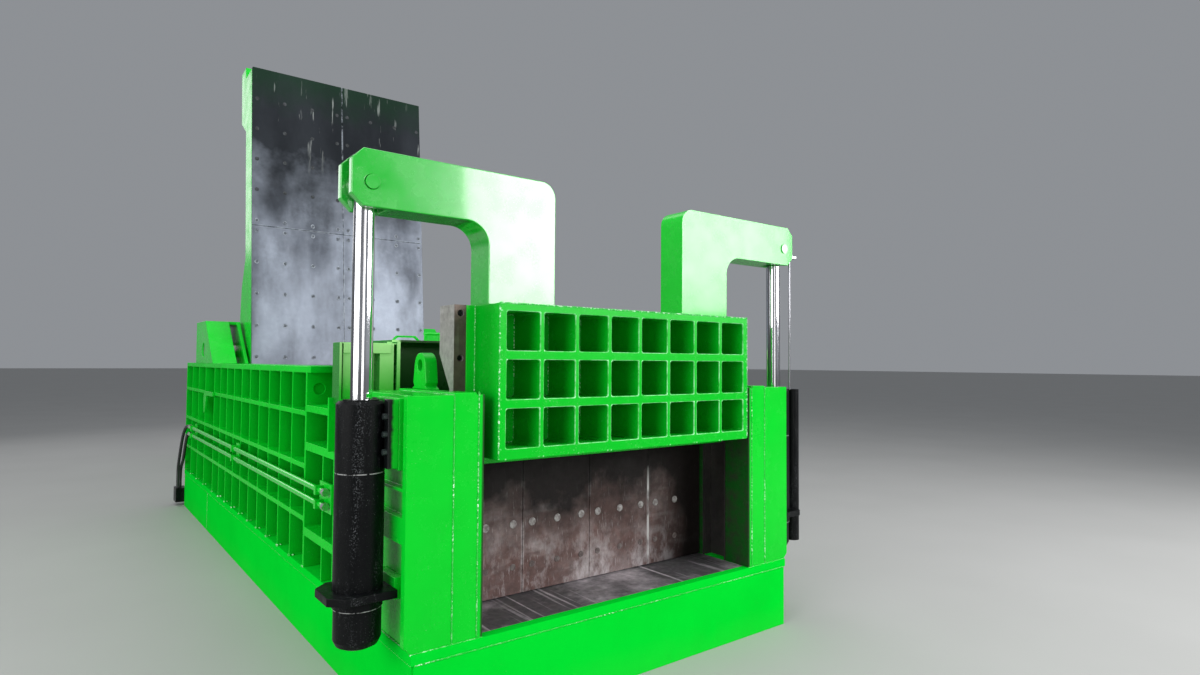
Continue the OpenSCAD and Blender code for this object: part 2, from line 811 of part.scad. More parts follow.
module cylinder_stand() {
    y0 = stand_y - stand_d / 2;
    y1 = stand_y + stand_d / 2;
    plate = 25;
    leg_x = 170;
    color(dark_green) difference() {
        union() {
            slab([-stand_w, stand_w], [y0 - 60, y1 + 60], [0, plate]);
            both() slab([leg_x, leg_x + 2 * plate], [y0, y1], [plate, main_z - 60]);
            slab([-stand_w + 60, stand_w - 60], [y0, y1], [main_z - 260, main_z - 20]);
            slab([-leg_x, leg_x], [stand_y - plate, stand_y + plate], [plate, main_z - 200]);
        }
        bar_y(0, y0 - cut, y1 + cut, main_z, main_d + 2 * loose);
    }
}

// Lift cylinders

module lift_barrel() {
    r = lift_d / 2;
    n = lift_neck_d / 2;
    b = lift_bore / 2;
    c = lift_chamfer;
    ring = 4;
    translate([lift_x, lift_y, lift_foot]) rotate_extrude($fn = 72)
        polygon([[0, 0], [n - 3 * c, 0], [n - c, c], [n, 3 * c], [n, lift_neck_z - ring],
            [r, lift_neck_z], [r, lift_ring_z - ring], [r - 2, lift_ring_z - ring],
            [r - 2, lift_ring_z + ring], [r, lift_ring_z + ring], [r, lift_l - c],
            [r - c, lift_l], [b, lift_l], [b, lift_cap_t], [0, lift_cap_t]]);
}
module lift_barrel_left() { color(black) mirror([1, 0, 0]) lift_barrel(); }
module lift_barrel_right() { color(black) lift_barrel(); }

module lift_glands() {
    color(black) both() translate([lift_x, lift_y, lift_top - gland_l]) difference() {
        cylinder(d = lift_bore - 2 * loose, h = gland_l + gland_proud);
        translate([0, 0, -cut]) cylinder(d = lift_rod_d + 2 * run, h = gland_l + gland_proud + 2 * cut);
    }
}

module lift_flange() {
    x1 = lift_x + lift_d / 2 + 50;
    y0 = lift_y - lift_d / 2 - 38;
    y1 = lift_y + lift_d / 2 + 38;
    c = 60;
    difference() {
        translate([0, 0, lift_flange_z]) linear_extrude(lift_flange_t)
            polygon([[seat_x, y0], [x1 - c, y0], [x1, y0 + c], [x1, y1 - c], [x1 - c, y1],
                [seat_x, y1]]);
        translate([lift_x, lift_y, lift_flange_z - cut])
            cylinder(d = lift_d + 2 * loose, h = lift_flange_t + 2 * cut);
    }
}
module lift_flanges() {
    color(black) {
        mirror([1, 0, 0]) lift_flange();
        difference() {
            lift_flange();
            translate([tube_x, thin_y, lift_flange_z - cut])
                cylinder(d = tube_d + 2 * loose, h = lift_flange_t + 2 * cut);
        }
    }
}

module lift_pads() {
    color(black) both() difference() {
        slab([seat_x, seat_x + pad_depth], [lift_y - pad_half, lift_y + pad_half],
            [pad_z0, pad_z0 + pad_l]);
        translate([lift_x, lift_y, pad_z0 - cut])
            cylinder(d = lift_d + 2 * loose, h = pad_l + 2 * cut);
    }
}

module pad_bolts() {
    head_x = seat_x + pad_depth;
    color(green) both()
        for (i = [0:2])
            translate([head_x, lift_y - pad_half + pad_bolt_in, pad_z0 + 70 + i * 74])
                rotate([0, 90, 0]) cylinder(d = 26, h = 18, $fn = 6);
}

module lift_brackets() {
    upper_z = pad_z0 - 10;
    color(green) both() {
        slab([col_side, seat_x], [lift_y - pad_half, lift_y + pad_half],
            [upper_z, upper_z + pad_l + 14]);
        slab([col_side, seat_x], [lift_y - lift_d / 2, lift_y + lift_d / 2],
            [lift_flange_z - 18, lift_flange_z + lift_flange_t + 38]);
    }
}

// Thin rod and guide tube on the right-hand side

module guide_tube() {
    z1 = lift_top - 2;
    color(black) {
        difference() {
            translate([tube_x, thin_y, tube_z0]) cylinder(d = tube_d, h = z1 - tube_z0);
            translate([tube_x, thin_y, tube_z0 + 20]) cylinder(d = tube_bore, h = z1 - tube_z0);
        }
        for (z = [lift_flange_z + lift_flange_t, z1 - 60])
            difference() {
                slab([lift_x, tube_x], [thin_y - 12, thin_y + 12], [z, z + 40]);
                translate([lift_x, lift_y, z - cut]) cylinder(d = lift_d + 2 * loose, h = 50);
                translate([tube_x, thin_y, z - cut]) cylinder(d = tube_bore, h = 50);
            }
    }
}

module thin_rod() {
    top = arm_under + arm_chamfer + 4;
    color(bright_steel) {
        translate([thin_x, thin_y, tube_z0 + 780]) cylinder(d = thin_d, h = top - tube_z0 - 780);
        slab([arm_end, thin_x + 12], [arm_y0 + 5, thin_y + 12], [top, top + 16]);
    }
}

// Pipes, hoses and small fittings on the left side

module pipe(z) {
    color(green) bar_y(pipe_x, pipe_y0, pipe_y1, z, pipe_d);
}
module pipe_upper() { pipe(pipe_zs[0]); }
module pipe_lower() { pipe(pipe_zs[1]); }

module pipe_brackets() {
    mid_y = rib_ys[6] - 20;
    rear_clamp = rear_y + rear_pitch - 10;
    plates = [[rib_front[0], rib_front[1] + rib_t], [mid_y, mid_y + 110],
        [rear_clamp, rear_clamp + 84]];
    clamp_up = [124, 60, 54];
    plate_t = 12;
    color(green) difference() {
        union() {
            for (i = [0:2]) {
                slab([-half_w - plate_t, -half_w], plates[i],
                    [pipe_zs[1] - plate_over, pipe_zs[0] + plate_over]);
                for (z = pipe_zs)
                    slab([pipe_x - pipe_d / 2 - 8, -half_w - plate_t],
                        [plates[i][0] + clamp_up[i], plates[i][0] + clamp_up[i] + 30],
                        [z - pipe_d / 2 - 8, z + pipe_d / 2 + 8]);
            }
        }
        for (z = pipe_zs)
            bar_y(pipe_x, pipe_y0 - cut, pipe_y1 + cut, z, pipe_d + 2 * loose);
    }
}

module pipe_fittings() {
    color(bright_steel) for (z = pipe_zs) {
        translate([pipe_x, pipe_y1 + fitting_l, z]) rotate([90, 0, 0])
            cylinder(d = fitting_d, h = fitting_l, $fn = 6);
        translate([pipe_x, pipe_y0, z]) rotate([90, 0, 0])
            cylinder(d = fitting_d, h = fitting_l / 2, $fn = 6);
    }
}

// A round hose swept along a list of points
module hose(way, d) {
    n = 10;
    m = len(way);
    function unit(v) = v / norm(v);
    function dir(i) = unit(way[min(i + 1, m - 1)] - way[max(i - 1, 0)]);
    rings = [for (i = [0:m - 1])
        let (t = dir(i), u = unit(cross(t, [1, 0, 0])), v = cross(t, u))
        for (k = [0:n - 1]) way[i] + d / 2 * (u * cos(360 * k / n) + v * sin(360 * k / n))];
    sides = [for (i = [0:m - 2]) for (k = [0:n - 1])
        [i * n + k, (i + 1) * n + k, (i + 1) * n + (k + 1) % n, i * n + (k + 1) % n]];
    ends = [[for (k = [0:n - 1]) k], [for (k = [n - 1:-1:0]) (m - 1) * n + k]];
    polyhedron(points = rings, faces = concat(sides, ends));
}

// A smooth run of points through the chosen ones
function smooth(way, steps = 4) = concat(
    [for (i = [0:len(way) - 2])
        let (p0 = way[max(i - 1, 0)], p1 = way[i], p2 = way[i + 1],
            p3 = way[min(i + 2, len(way) - 1)])
        for (s = [0:steps - 1])
            let (t = s / steps)
            0.5 * (2 * p1 + (p2 - p0) * t + (2 * p0 - 5 * p1 + 4 * p2 - p3) * t * t
                + (3 * p1 - p0 - 3 * p2 + p3) * t * t * t)],
    [way[len(way) - 1]]);

module hose_upper() { color(black) hose(smooth(hose_upper_way), hose_d); }
module hose_lower() { color(black) hose(smooth(hose_lower_way), hose_d); }

module hose_block() {
    color(black) slab([hose_block_x, hose_block_x + hose_block_w],
        [frame_l, frame_l + hose_block_l], [40, 190]);
}

module hook_plate() {
    y0 = wide_y - 20;
    y1 = rear_y - 20;
    r = 90;
    z = [base_h + 700, long_zs[2] + long_rib_t / 2];
    color(green) across(-half_w - 20, -half_w)
        polygon(concat([[y0, z[1]], [y0, z[1] - 40]],
            arc([y1 - 130 - r / 2, z[1] - 40 - r / 2], r / 2, 90, 0, 5),
            [[y1 - 60, z[0]], [y1 - 30, z[0]]],
            arc([y1 - r, z[1] - r], r, 0, 90, 6)));
}

// Gate

module gate_grid() {
    color(green) along(slab_y - grid_d, slab_y) translate([-grid_half, gate_top - grid_h])
        difference() {
            square([2 * grid_half, grid_h]);
            for (i = [0:grid_cols - 1])
                for (j = [0:grid_rows - 1])
                    translate([grid_side + i * (pocket_w + grid_rib),
                        grid_bottom + j * (pocket_h + grid_shelf)])
                        window(pocket_w, pocket_h, grid_weld);
        }
}

module gate_slab() {
    color(green) slab([-slab_half, slab_half], [slab_y, slab_back], [gate_bottom, gate_top]);
}

module gate_guides() {
    taper_z = gate_top - guide_taper_top;
    color(raw_steel) both() difference() {
        across(slab_half, slab_half + guide_w)
            polygon([[slab_y, gate_bottom], [slab_y, gate_top], [slab_y + guide_t, gate_top],
                [slab_y + guide_t, taper_z], [slab_y + guide_toe, taper_z - guide_taper_l],
                [slab_y + guide_toe, gate_bottom]]);
        for (i = [0:3])
            bar_y(slab_half + guide_bolt_in, slab_y - cut, slab_y + guide_bolt_depth,
                gate_top - guide_bolt_down - i * guide_bolt_pitch, guide_bolt_d);
    }
}

// Outline of an arm, drawn in X and Z, set in by e and open at its outer end if asked
module arm_outline(e, open_end) {
    end = open_end ? arm_end + cut : arm_end;
    ch = open_end ? 0 : arm_chamfer;
    foot = open_end ? gate_top - cut : gate_top;
    polygon(concat([[leg_in + e, foot]],
        arc([leg_in + arm_r_out, arm_top - arm_r_out], arm_r_out - e, 180, 90),
        [[end - ch, arm_top - e], [end, arm_top - e - ch], [end, arm_under + e + ch],
            [end - ch, arm_under + e]],
        arc([leg_out + arm_r_in, arm_under - arm_r_in], arm_r_in + e, 90, 180),
        [[leg_out - e, foot]]));
}

module arm() {
    difference() {
        union() {
            along(arm_y0, arm_y0 + arm_plate_t) arm_outline(0, false);
            along(arm_y1 - arm_plate_t, arm_y1) arm_outline(0, false);
            along(arm_y0 + arm_plate_t, arm_y1 - arm_plate_t) difference() {
                arm_outline(0, false);
                arm_outline(arm_web_t, true);
                translate([lift_x - 75, arm_under - cut])
                    square([arm_over + 80, arm_web_t + 2 * cut]);
            }
        }
        bar_y(lift_x, arm_y0 - cut, arm_y1 + cut, pin_z, pin_d + 2 * loose);
    }
}
module arm_left() { color(green) mirror([1, 0, 0]) arm(); }
module arm_right() { color(green) arm(); }

module arm_pins() {
    color(green) both()
        bar_y(lift_x, arm_y0 - pin_proud, arm_y1 + pin_proud, pin_z, pin_d);
}

module lift_rods() {
    piston_z = lift_top - gland_l - lift_piston_t - 12;
    color(bright_steel) both() difference() {
        union() {
            translate([lift_x, lift_y, piston_z])
                cylinder(d = lift_rod_d, h = pin_z - lift_eye_r + 20 - piston_z);
            translate([lift_x, lift_y, piston_z])
                cylinder(d = lift_bore - 2 * run, h = lift_piston_t);
            bar_y(lift_x, lift_y - lift_eye_t / 2, lift_y + lift_eye_t / 2, pin_z,
                2 * lift_eye_r);
        }
        bar_y(lift_x, arm_y0, arm_y1, pin_z, pin_d + 2 * loose);
    }
}

// Ram

module ram_body() {
    color(raw_steel) difference() {
        slab([-ram_half, ram_half], [ram_y + face_t, ram_back], [ram_z0, ram_top]);
        both() slab([200, ram_half - 60], [ram_y + face_t + 240, ram_back + cut],
            [ram_z0 + 60, ram_top - 60]);
    }
}

module ram_face() {
    seam = 2;
    w = ram_half / 2;
    color(raw_steel) for (i = [-2:1])
        slab([i * w + seam / 2, (i + 1) * w - seam / 2], [ram_y, ram_y + face_t],
            [ram_z0, ram_top]);
}

module main_rod() {
    color(bright_steel) bar_y(0, ram_back + rod_flange_t, main_piston_y, main_z, main_rod_d);
}

// Flange on the ram's back and piston, one at each end of the main rod
module rod_ends() {
    color(raw_steel) {
        bar_y(0, ram_back, ram_back + rod_flange_t, main_z, main_rod_d + 130);
        bar_y(0, main_piston_y, main_piston_y + main_piston_t, main_z, main_bore - 2 * run);
    }
}

// Lid, drawn shut about its hinge and then swung open

module swung() {
    translate([0, hinge_y, hinge_z]) rotate([-lid_open, 0, 0]) children();
}

module lid_frame() {
    z0 = lid_face + lid_liner_t;
    cols = 5;
    rows = 8;
    side = 40;
    l = lid_reach + lid_back;
    cell_w = (2 * (lid_half - side) - (cols - 1) * skirt_t) / cols;
    cell_l = (l - 2 * side - (rows - 1) * skirt_t) / rows;
    color(green) swung() {
        slab([-lid_half, lid_half], [-lid_reach, lid_back], [z0, z0 + lid_plate_t]);
        translate([-lid_half, -lid_reach, z0 + lid_plate_t])
            linear_extrude(lid_rear - z0 - lid_plate_t) difference() {
                square([2 * lid_half, l]);
                for (i = [0:cols - 1])
                    for (j = [0:rows - 1])
                        translate([side + i * (cell_w + skirt_t), side + j * (cell_l + skirt_t)])
                            window(cell_w, cell_l, grid_weld);
            }
        both() across(lid_half - 150, lid_half)
            polygon([[-lid_reach, lid_rear], [-lid_reach - lid_ear_over, lid_rear],
                [-lid_reach - lid_ear_over, lid_rear + lid_ear_h],
                [-lid_reach + lid_ear_l - lid_ear_over - 150, lid_rear + lid_ear_h],
                [-lid_reach + lid_ear_l - lid_ear_over, lid_rear]]);
    }
}

module lid_liner() {
    seam = 3;
    xs = [-lid_half, 0, lid_half];
    ys = [-lid_reach, -lid_seam, lid_back];
    color(dark_steel) swung()
        for (i = [0, 1])
            for (j = [0, 1])
                slab([xs[i] + (i == 1 ? seam / 2 : 0), xs[i + 1] - (i == 0 ? seam / 2 : 0)],
                    [ys[j] + (j == 1 ? seam / 2 : 0), ys[j + 1] - (j == 0 ? seam / 2 : 0)],
                    [lid_face, lid_face + lid_liner_t]);
}

module lid_horns() {
    pin = horn_r * [cos(horn_a + lid_open), sin(horn_a + lid_open)];
    color(dark_green) swung() both() {
        difference() {
            across(lid_arm_x, lid_arm_x + lid_arm_t)
                polygon(concat([[-1000, lid_rear], [-640, -13]], arc([0, 0], lid_arm_r, 95, -60),
                    [[lid_back, lid_rear]]));
            bar_x(lid_arm_x - cut, lid_arm_x + lid_arm_t + cut, 0, 0, hinge_d + 2 * run);
        }
        for (x = [lid_cyl_x - horn_gap / 2 - horn_t, lid_cyl_x + horn_gap / 2])
            difference() {
                across(x, x + horn_t)
                    polygon(concat([[pin[0] - 260, lid_rear]], arc(pin, horn_boss, 160, -35),
                        [[pin[0] + 330, lid_rear]]));
                bar_x(x - cut, x + horn_t + cut, pin[0], pin[1], horn_pin_d + 2 * loose);
            }
    }
}

module horn_pins() {
    half = horn_gap / 2 + horn_t + 12;
    color(bright_steel) both()
        bar_x(lid_cyl_x - half, lid_cyl_x + half, open_pin[0], open_pin[1], horn_pin_d);
}

// Lid cylinders, drawn along -Y from the rear anchor and then tilted

module tilted(side) {
    translate([side * lid_cyl_x, anchor_y, anchor_z]) rotate([-cyl_tilt, 0, 0]) children();
}

module lid_barrel(side) {
    r = lid_cyl_d / 2;
    b = r - cyl_wall;
    tilted(side) {
        difference() {
            union() {
                rotate([90, 0, 0]) rotate_extrude($fn = 72)
                    polygon([[0, cyl_rear - 30], [r - 20, cyl_rear - 30], [r, cyl_rear - 10],
                        [r, cyl_l - 8], [r - 8, cyl_l], [b, cyl_l], [b, cyl_rear + 10],
                        [0, cyl_rear + 10]]);
                slab([-eye_t / 2, eye_t / 2], [-cyl_rear, 0], [-60, 60]);
                bar_x(-eye_t / 2, eye_t / 2, 0, 0, 140);
            }
            bar_x(-eye_t, eye_t, 0, 0, anchor_pin_d + 2 * run);
        }
        difference() {
            bar_y(0, -cyl_l - 6, -cyl_l + cyl_gland_l, 0, 2 * b - 2 * loose);
            bar_y(0, -cyl_l - 10, -cyl_l + cyl_gland_l + cut, 0, cyl_rod_d + 2 * run);
        }
    }
}
module lid_barrel_left() { color(black) lid_barrel(-1); }
module lid_barrel_right() { color(black) lid_barrel(1); }

module lid_rod(side) {
    b = lid_cyl_d / 2 - cyl_wall;
    pin_r = horn_pin_d / 2 + 2;
    y0 = -cyl_short - pin_r - yoke_slide;
    y1 = -cyl_short + pin_r;
    z0 = -pin_r;
    z1 = pin_r + yoke_lift;
    piston_y = -cyl_rear - 40;
    tilted(side) {
        bar_y(0, y1 + yoke_tail - 5, piston_y, 0, cyl_rod_d);
        bar_y(0, piston_y - cyl_piston_t, piston_y, 0, 2 * b - 2 * run);
        across(-eye_t / 2, eye_t / 2) difference() {
            polygon([[y0 - yoke_wall, z0 - yoke_wall], [y1 + yoke_tail, z0 - yoke_wall],
                [y1 + yoke_tail, pin_r + 12], [y1 + yoke_wall, pin_r + yoke_wall],
                [y1 + yoke_wall, z1 + yoke_wall], [y0 - yoke_wall, z1 + yoke_wall]]);
            translate([y0, z0]) window(y1 - y0, z1 - z0, 8);
        }
    }
}
module lid_rod_left() { color(bright_steel) lid_rod(-1); }
module lid_rod_right() { color(bright_steel) lid_rod(1); }

module lid_anchors() {
    eye_r = 80;
    color(dark_green) both()
        for (x = [lid_cyl_x - eye_t / 2 - 5 - horn_t, lid_cyl_x + eye_t / 2 + 5])
            difference() {
                across(x, x + horn_t)
                    polygon(concat([[cross_y + 60, wall_top], [frame_l, wall_top],
                        [frame_l, wall_top - 200]],
                        arc([anchor_y, anchor_z], eye_r, -50, 190),
                        [[anchor_y - 90, wall_top + 30]]));
                bar_x(x - cut, x + horn_t + cut, anchor_y, anchor_z, anchor_pin_d + 2 * loose);
            }
}

module anchor_pins() {
    half = eye_t / 2 + 5 + horn_t + 10;
    color(bright_steel) both()
        bar_x(lid_cyl_x - half, lid_cyl_x + half, anchor_y, anchor_z, anchor_pin_d);
}

base_frame();
floor_plate();
left_wall();
right_wall();
wall_liners();
left_front_bay();
right_front_bay();
left_column();
right_column();
slot_liners();
channel_cover();
cover_portal();
cover_handles();
lifting_lugs();
left_pedestal();
right_pedestal();
lid_hinge_pins();
crosshead();
main_barrel();
main_gland();
main_flange_bolts();
cylinder_stand();
lift_barrel_left();
lift_barrel_right();
lift_glands();
lift_flanges();
lift_pads();
pad_bolts();
lift_brackets();
pipe_upper();
pipe_lower();
pipe_brackets();
pipe_fittings();
hose_upper();
hose_lower();
hose_block();
hook_plate();
guide_tube();
lid_anchors();
anchor_pins();
gate_grid();
gate_slab();
gate_guides();
arm_left();
arm_right();
arm_pins();
lift_rods();
thin_rod();
ram_body();
ram_face();
main_rod();
rod_ends();
lid_frame();
lid_liner();
lid_horns();
horn_pins();
lid_barrel_left();
lid_barrel_right();
lid_rod_left();
lid_rod_right();
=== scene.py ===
# %% [markdown]
# A scrap baler, from bare solids to a painted machine.
# The solids come from a imported model: every plate, pin and cylinder is already in its place, in metres.
# This lesson gives them what a drawing leaves out: rounded edges, welds, bolts, hoses, paint and wear.
# The first step loads the solids and hangs each one on the body that it moves with.

# %% Load the machine
import json
import math

import bmesh
import bpy
from mathutils import Matrix, Vector

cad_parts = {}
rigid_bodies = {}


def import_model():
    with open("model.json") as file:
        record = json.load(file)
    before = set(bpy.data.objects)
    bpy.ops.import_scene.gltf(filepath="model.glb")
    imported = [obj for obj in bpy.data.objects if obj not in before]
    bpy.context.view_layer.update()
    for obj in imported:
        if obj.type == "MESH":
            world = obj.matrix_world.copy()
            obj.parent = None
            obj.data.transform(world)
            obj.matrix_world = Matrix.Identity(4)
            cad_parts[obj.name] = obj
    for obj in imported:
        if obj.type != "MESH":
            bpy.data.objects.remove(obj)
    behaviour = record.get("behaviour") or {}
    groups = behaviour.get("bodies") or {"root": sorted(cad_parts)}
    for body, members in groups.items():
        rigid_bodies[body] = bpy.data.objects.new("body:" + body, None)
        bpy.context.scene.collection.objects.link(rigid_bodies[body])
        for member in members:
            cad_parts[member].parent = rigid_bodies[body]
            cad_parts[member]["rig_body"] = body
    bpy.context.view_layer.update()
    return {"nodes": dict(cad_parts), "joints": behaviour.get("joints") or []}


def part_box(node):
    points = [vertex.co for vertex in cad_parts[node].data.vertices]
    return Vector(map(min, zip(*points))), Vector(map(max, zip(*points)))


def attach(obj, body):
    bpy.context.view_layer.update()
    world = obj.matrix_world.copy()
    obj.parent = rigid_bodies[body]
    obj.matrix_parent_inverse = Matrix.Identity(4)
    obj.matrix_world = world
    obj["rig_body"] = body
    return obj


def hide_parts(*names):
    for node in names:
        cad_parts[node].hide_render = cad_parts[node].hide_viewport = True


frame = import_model()
scene = bpy.context.scene

# %% [markdown]
# The camera stands where a person would stand to look at the machine, eyes at 1.6 m.
# A wide lens is needed that close: the near column is large and the rear of the wall runs away fast.
# Yaw, pitch and roll are turned into three axes, which is easier to read than a string of Euler angles.

# %% Camera


def new_object(name, data):
    item = bpy.data.objects.new(name, data)
    scene.collection.objects.link(item)
    return item


EYE = Vector((-2.4068, -2.7969, 1.6))
YAW, PITCH, ROLL = (math.radians(angle) for angle in (37.768, 2.018, 0.3724))
LENS_MM, SENSOR_MM = 21.23, 36
FARTHEST = 200

ahead = Vector((math.sin(YAW) * math.cos(PITCH), math.cos(YAW) * math.cos(PITCH), math.sin(PITCH)))
level = Vector((math.cos(YAW), -math.sin(YAW), 0))
upward = level.cross(ahead)
camera_x = level * math.cos(ROLL) + upward * math.sin(ROLL)
camera_y = upward * math.cos(ROLL) - level * math.sin(ROLL)

camera_data = bpy.data.cameras.new("camera")
camera_data.lens = LENS_MM
camera_data.sensor_width = SENSOR_MM
camera_data.clip_end = FARTHEST
camera = new_object("camera", camera_data)
camera.matrix_world = Matrix.Translation(EYE) @ Matrix((camera_x, camera_y, -ahead)).transposed().to_4x4()
scene.camera = camera
print("camera at", tuple(EYE), "lens", LENS_MM)

# %% [markdown]
# Two hydraulic hoses leave the rear ends of the pipes on the left wall and drop to a block at the floor.
# A hose is a curve: a few listed points, a smooth run between them and a round section.
# The same points shape the plain tubes in the solids, so the hoses lie exactly where those lie.
# The curve's own section is 1 m across and each point scales it down, because Blender counts a
# point's radius into the curve's box: a radius left at 1 would make the whole machine look larger.

# %% Hoses
HOSE_D = 0.030
UPPER_WAY = [(-1.247, 5.670, 0.905), (-1.247, 5.700, 0.905), (-1.247, 5.730, 0.905), (-1.252, 5.880, 0.880),
             (-1.260, 6.020, 0.780), (-1.266, 6.140, 0.600), (-1.268, 6.250, 0.420), (-1.268, 6.260, 0.280),
             (-1.268, 6.260, 0.235), (-1.268, 6.260, 0.190)]
LOWER_WAY = [(-1.247, 5.670, 0.830), (-1.247, 5.700, 0.830), (-1.247, 5.730, 0.830), (-1.246, 5.840, 0.790),
             (-1.244, 5.960, 0.680), (-1.240, 6.110, 0.520), (-1.236, 6.290, 0.400), (-1.236, 6.325, 0.280),
             (-1.236, 6.325, 0.235), (-1.236, 6.325, 0.190)]


def smooth(way, steps=4):
    """A smooth run of points through the chosen ones, as in the solids."""
    points = [Vector(p) for p in way]
    run = []
    for i in range(len(points) - 1):
        p0, p1, p2 = points[max(i - 1, 0)], points[i], points[i + 1]
        p3 = points[min(i + 2, len(points) - 1)]
        for s in range(steps):
            t = s / steps
            run.append(0.5 * (2 * p1 + (p2 - p0) * t + (2 * p0 - 5 * p1 + 4 * p2 - p3) * t ** 2
                              + (3 * p1 - p0 - 3 * p2 + p3) * t ** 3))
    return run + [points[-1]]


def way_length(run):
    return sum((b - a).length for a, b in zip(run, run[1:]))


def hose(name, way, node):
    run = smooth(way)
    curve = bpy.data.curves.new(name, "CURVE")
    curve.dimensions = "3D"
    curve.bevel_depth = 0.5
    curve.bevel_resolution = 5
    curve.use_fill_caps = True
    spline = curve.splines.new("POLY")
    spline.points.add(len(run) - 1)
    for point, place in zip(spline.points, run):
        point.co = (*place, 1)
        point.radius = HOSE_D
    piece = new_object(name, curve)
    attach(piece, "frame")
    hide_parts(node)
    print(name, "is", round(way_length(run), 3), "m long")
    return piece


hoses = [hose("upper_hose", UPPER_WAY, "hose_upper"), hose("lower_hose", LOWER_WAY, "hose_lower")]

# %% [markdown]
# The floor is a plain pale sheet, and the light is that of a studio with soft boxes.
# Gloss paint and chrome only look right with something to mirror. The brightest box stands to the
# front right, broad and not too high: it lies in the mirror direction of the arms' flat fronts,
# which turn almost white, while everything below eye height keeps its full colour.
# The Standard view keeps the fresh green as strong as it is; a softer view would wash it out.

# %% Floor and light
FLOOR_HALF = 150


def flat_sheet(name, half, z):
    mesh = bpy.data.meshes.new(name)
    corners = [(-half, -half, z), (half, -half, z), (half, half, z), (-half, half, z)]
    mesh.from_pydata(corners, [], [(0, 1, 2, 3)])
    return new_object(name, mesh)


def soft_box(name, place, target, size, power, colour=(1, 1, 1)):
    light = bpy.data.lights.new(name, "AREA")
    light.shape = "RECTANGLE"
    light.size, light.size_y = size
    light.energy = power
    light.color = colour
    box = new_object(name, light)
    box.location = place
    box.rotation_euler = (Vector(target) - Vector(place)).to_track_quat("-Z", "Y").to_euler()
    return box


floor = flat_sheet("studio_floor", FLOOR_HALF, 0)

world = bpy.data.worlds.new("studio")
world.use_nodes = True
world.node_tree.nodes["Background"].inputs["Color"].default_value = (0.84, 0.88, 0.94, 1)
world.node_tree.nodes["Background"].inputs["Strength"].default_value = 0.32
scene.world = world
scene.view_settings.view_transform = "Standard"

soft_box("glare_light", (5.9, -6.9, 4.6), (0, 0.4, 2.4), (6.0, 4.2), 950)
soft_box("roof_light", (-1, 1.5, 9.5), (0, 2.5, 0), (10, 14), 560)
soft_box("front_light", (-3.0, -9.0, 2.6), (-0.5, 0.5, 2.4), (3.2, 4.8), 120, (1, 0.98, 0.95))
soft_box("left_light", (-9.5, 0.0, 3.4), (-1.2, 2.5, 1.6), (9, 4.8), 590)
soft_box("rear_light", (-4.0, 14.0, 6.0), (-0.5, 5.0, 2.5), (6, 4), 130)

# %% [markdown]
# Materials are built from small trees of nodes, and helpers keep the trees short to read.
# The main one adds a node and fills its inputs by name. Most others are one sum or one texture each,
# named for what they say: a product, how far a value lies from a middle, the way a face looks. They
# find the tree themselves, because an output that is passed to them already belongs to one.

# %% Helpers for node trees


def give(socket, value):
    """A socket gets a link if the value is another node's output, and a plain value otherwise."""
    if isinstance(value, bpy.types.NodeSocket):
        value.id_data.links.new(value, socket)
    else:
        socket.default_value = (*value, 1) if socket.type == "RGBA" else value


def add(tree, kind, settings=None, **inputs):
    """A node; settings are its own properties, inputs go by socket name, or by number as in _0."""
    node = tree.nodes.new(kind)
    for key, value in (settings or {}).items():
        setattr(node, key, value)
    for key, value in inputs.items():
        by_number = key[0] == "_" and key[1:].isdigit()
        give(node.inputs[int(key[1:]) if by_number else key.replace("_", " ")], value)
    return node


def add_after(kind, settings=None, **inputs):
    """The same, in the tree that the linked inputs come from."""
    source = next(value for value in inputs.values() if isinstance(value, bpy.types.NodeSocket))
    return add(source.id_data, kind, settings, **inputs)


def math_node(operation, a, b=0.0):
    return add_after("ShaderNodeMath", {"operation": operation}, _0=a, _1=b).outputs[0]


def total(a, b):
    return math_node("ADD", a, b)


def difference(a, b):
    return math_node("SUBTRACT", a, b)


def product(a, b):
    return math_node("MULTIPLY", a, b)


def larger(a, b):
    return math_node("MAXIMUM", a, b)


def smaller(a, b):
    return math_node("MINIMUM", a, b)


def away_from(value, middle=0.0):
    """How far a value lies from a middle, whatever the side."""
    return math_node("ABSOLUTE", difference(value, middle))


def blend_colour(factor, first, second):
    return add_after("ShaderNodeMix", {"data_type": "RGBA"}, _0=factor, _6=first, _7=second).outputs[2]


def ramp(value, low, high, to_low=0.0, to_high=1.0):
    """The value moved from the range low..high to another range, and kept inside it."""
    return add_after("ShaderNodeMapRange", _0=value, _1=low, _2=high, _3=to_low, _4=to_high).outputs[0]


def noise(place, scale, detail=3.0, rough=0.5):
    return add_after("ShaderNodeTexNoise", Vector=place, Scale=scale, Detail=detail, Roughness=rough).outputs[0]


def stretched(place, scale, turn=(0, 0, 0)):
    return add_after("ShaderNodeMapping", Vector=place, Rotation=turn, Scale=scale).outputs[0]


def object_place(tree):
    """Where a point of the surface lies, in metres, which here is its place on the machine at rest."""
    return add(tree, "ShaderNodeTexCoord").outputs["Object"]


def along(place, axis):
    return add_after("ShaderNodeSeparateXYZ", Vector=place).outputs[axis]


def facing(tree, axis):
    """How much a face looks along an axis, from -1 to 1."""
    return along(add(tree, "ShaderNodeTexCoord").outputs["Normal"], axis)


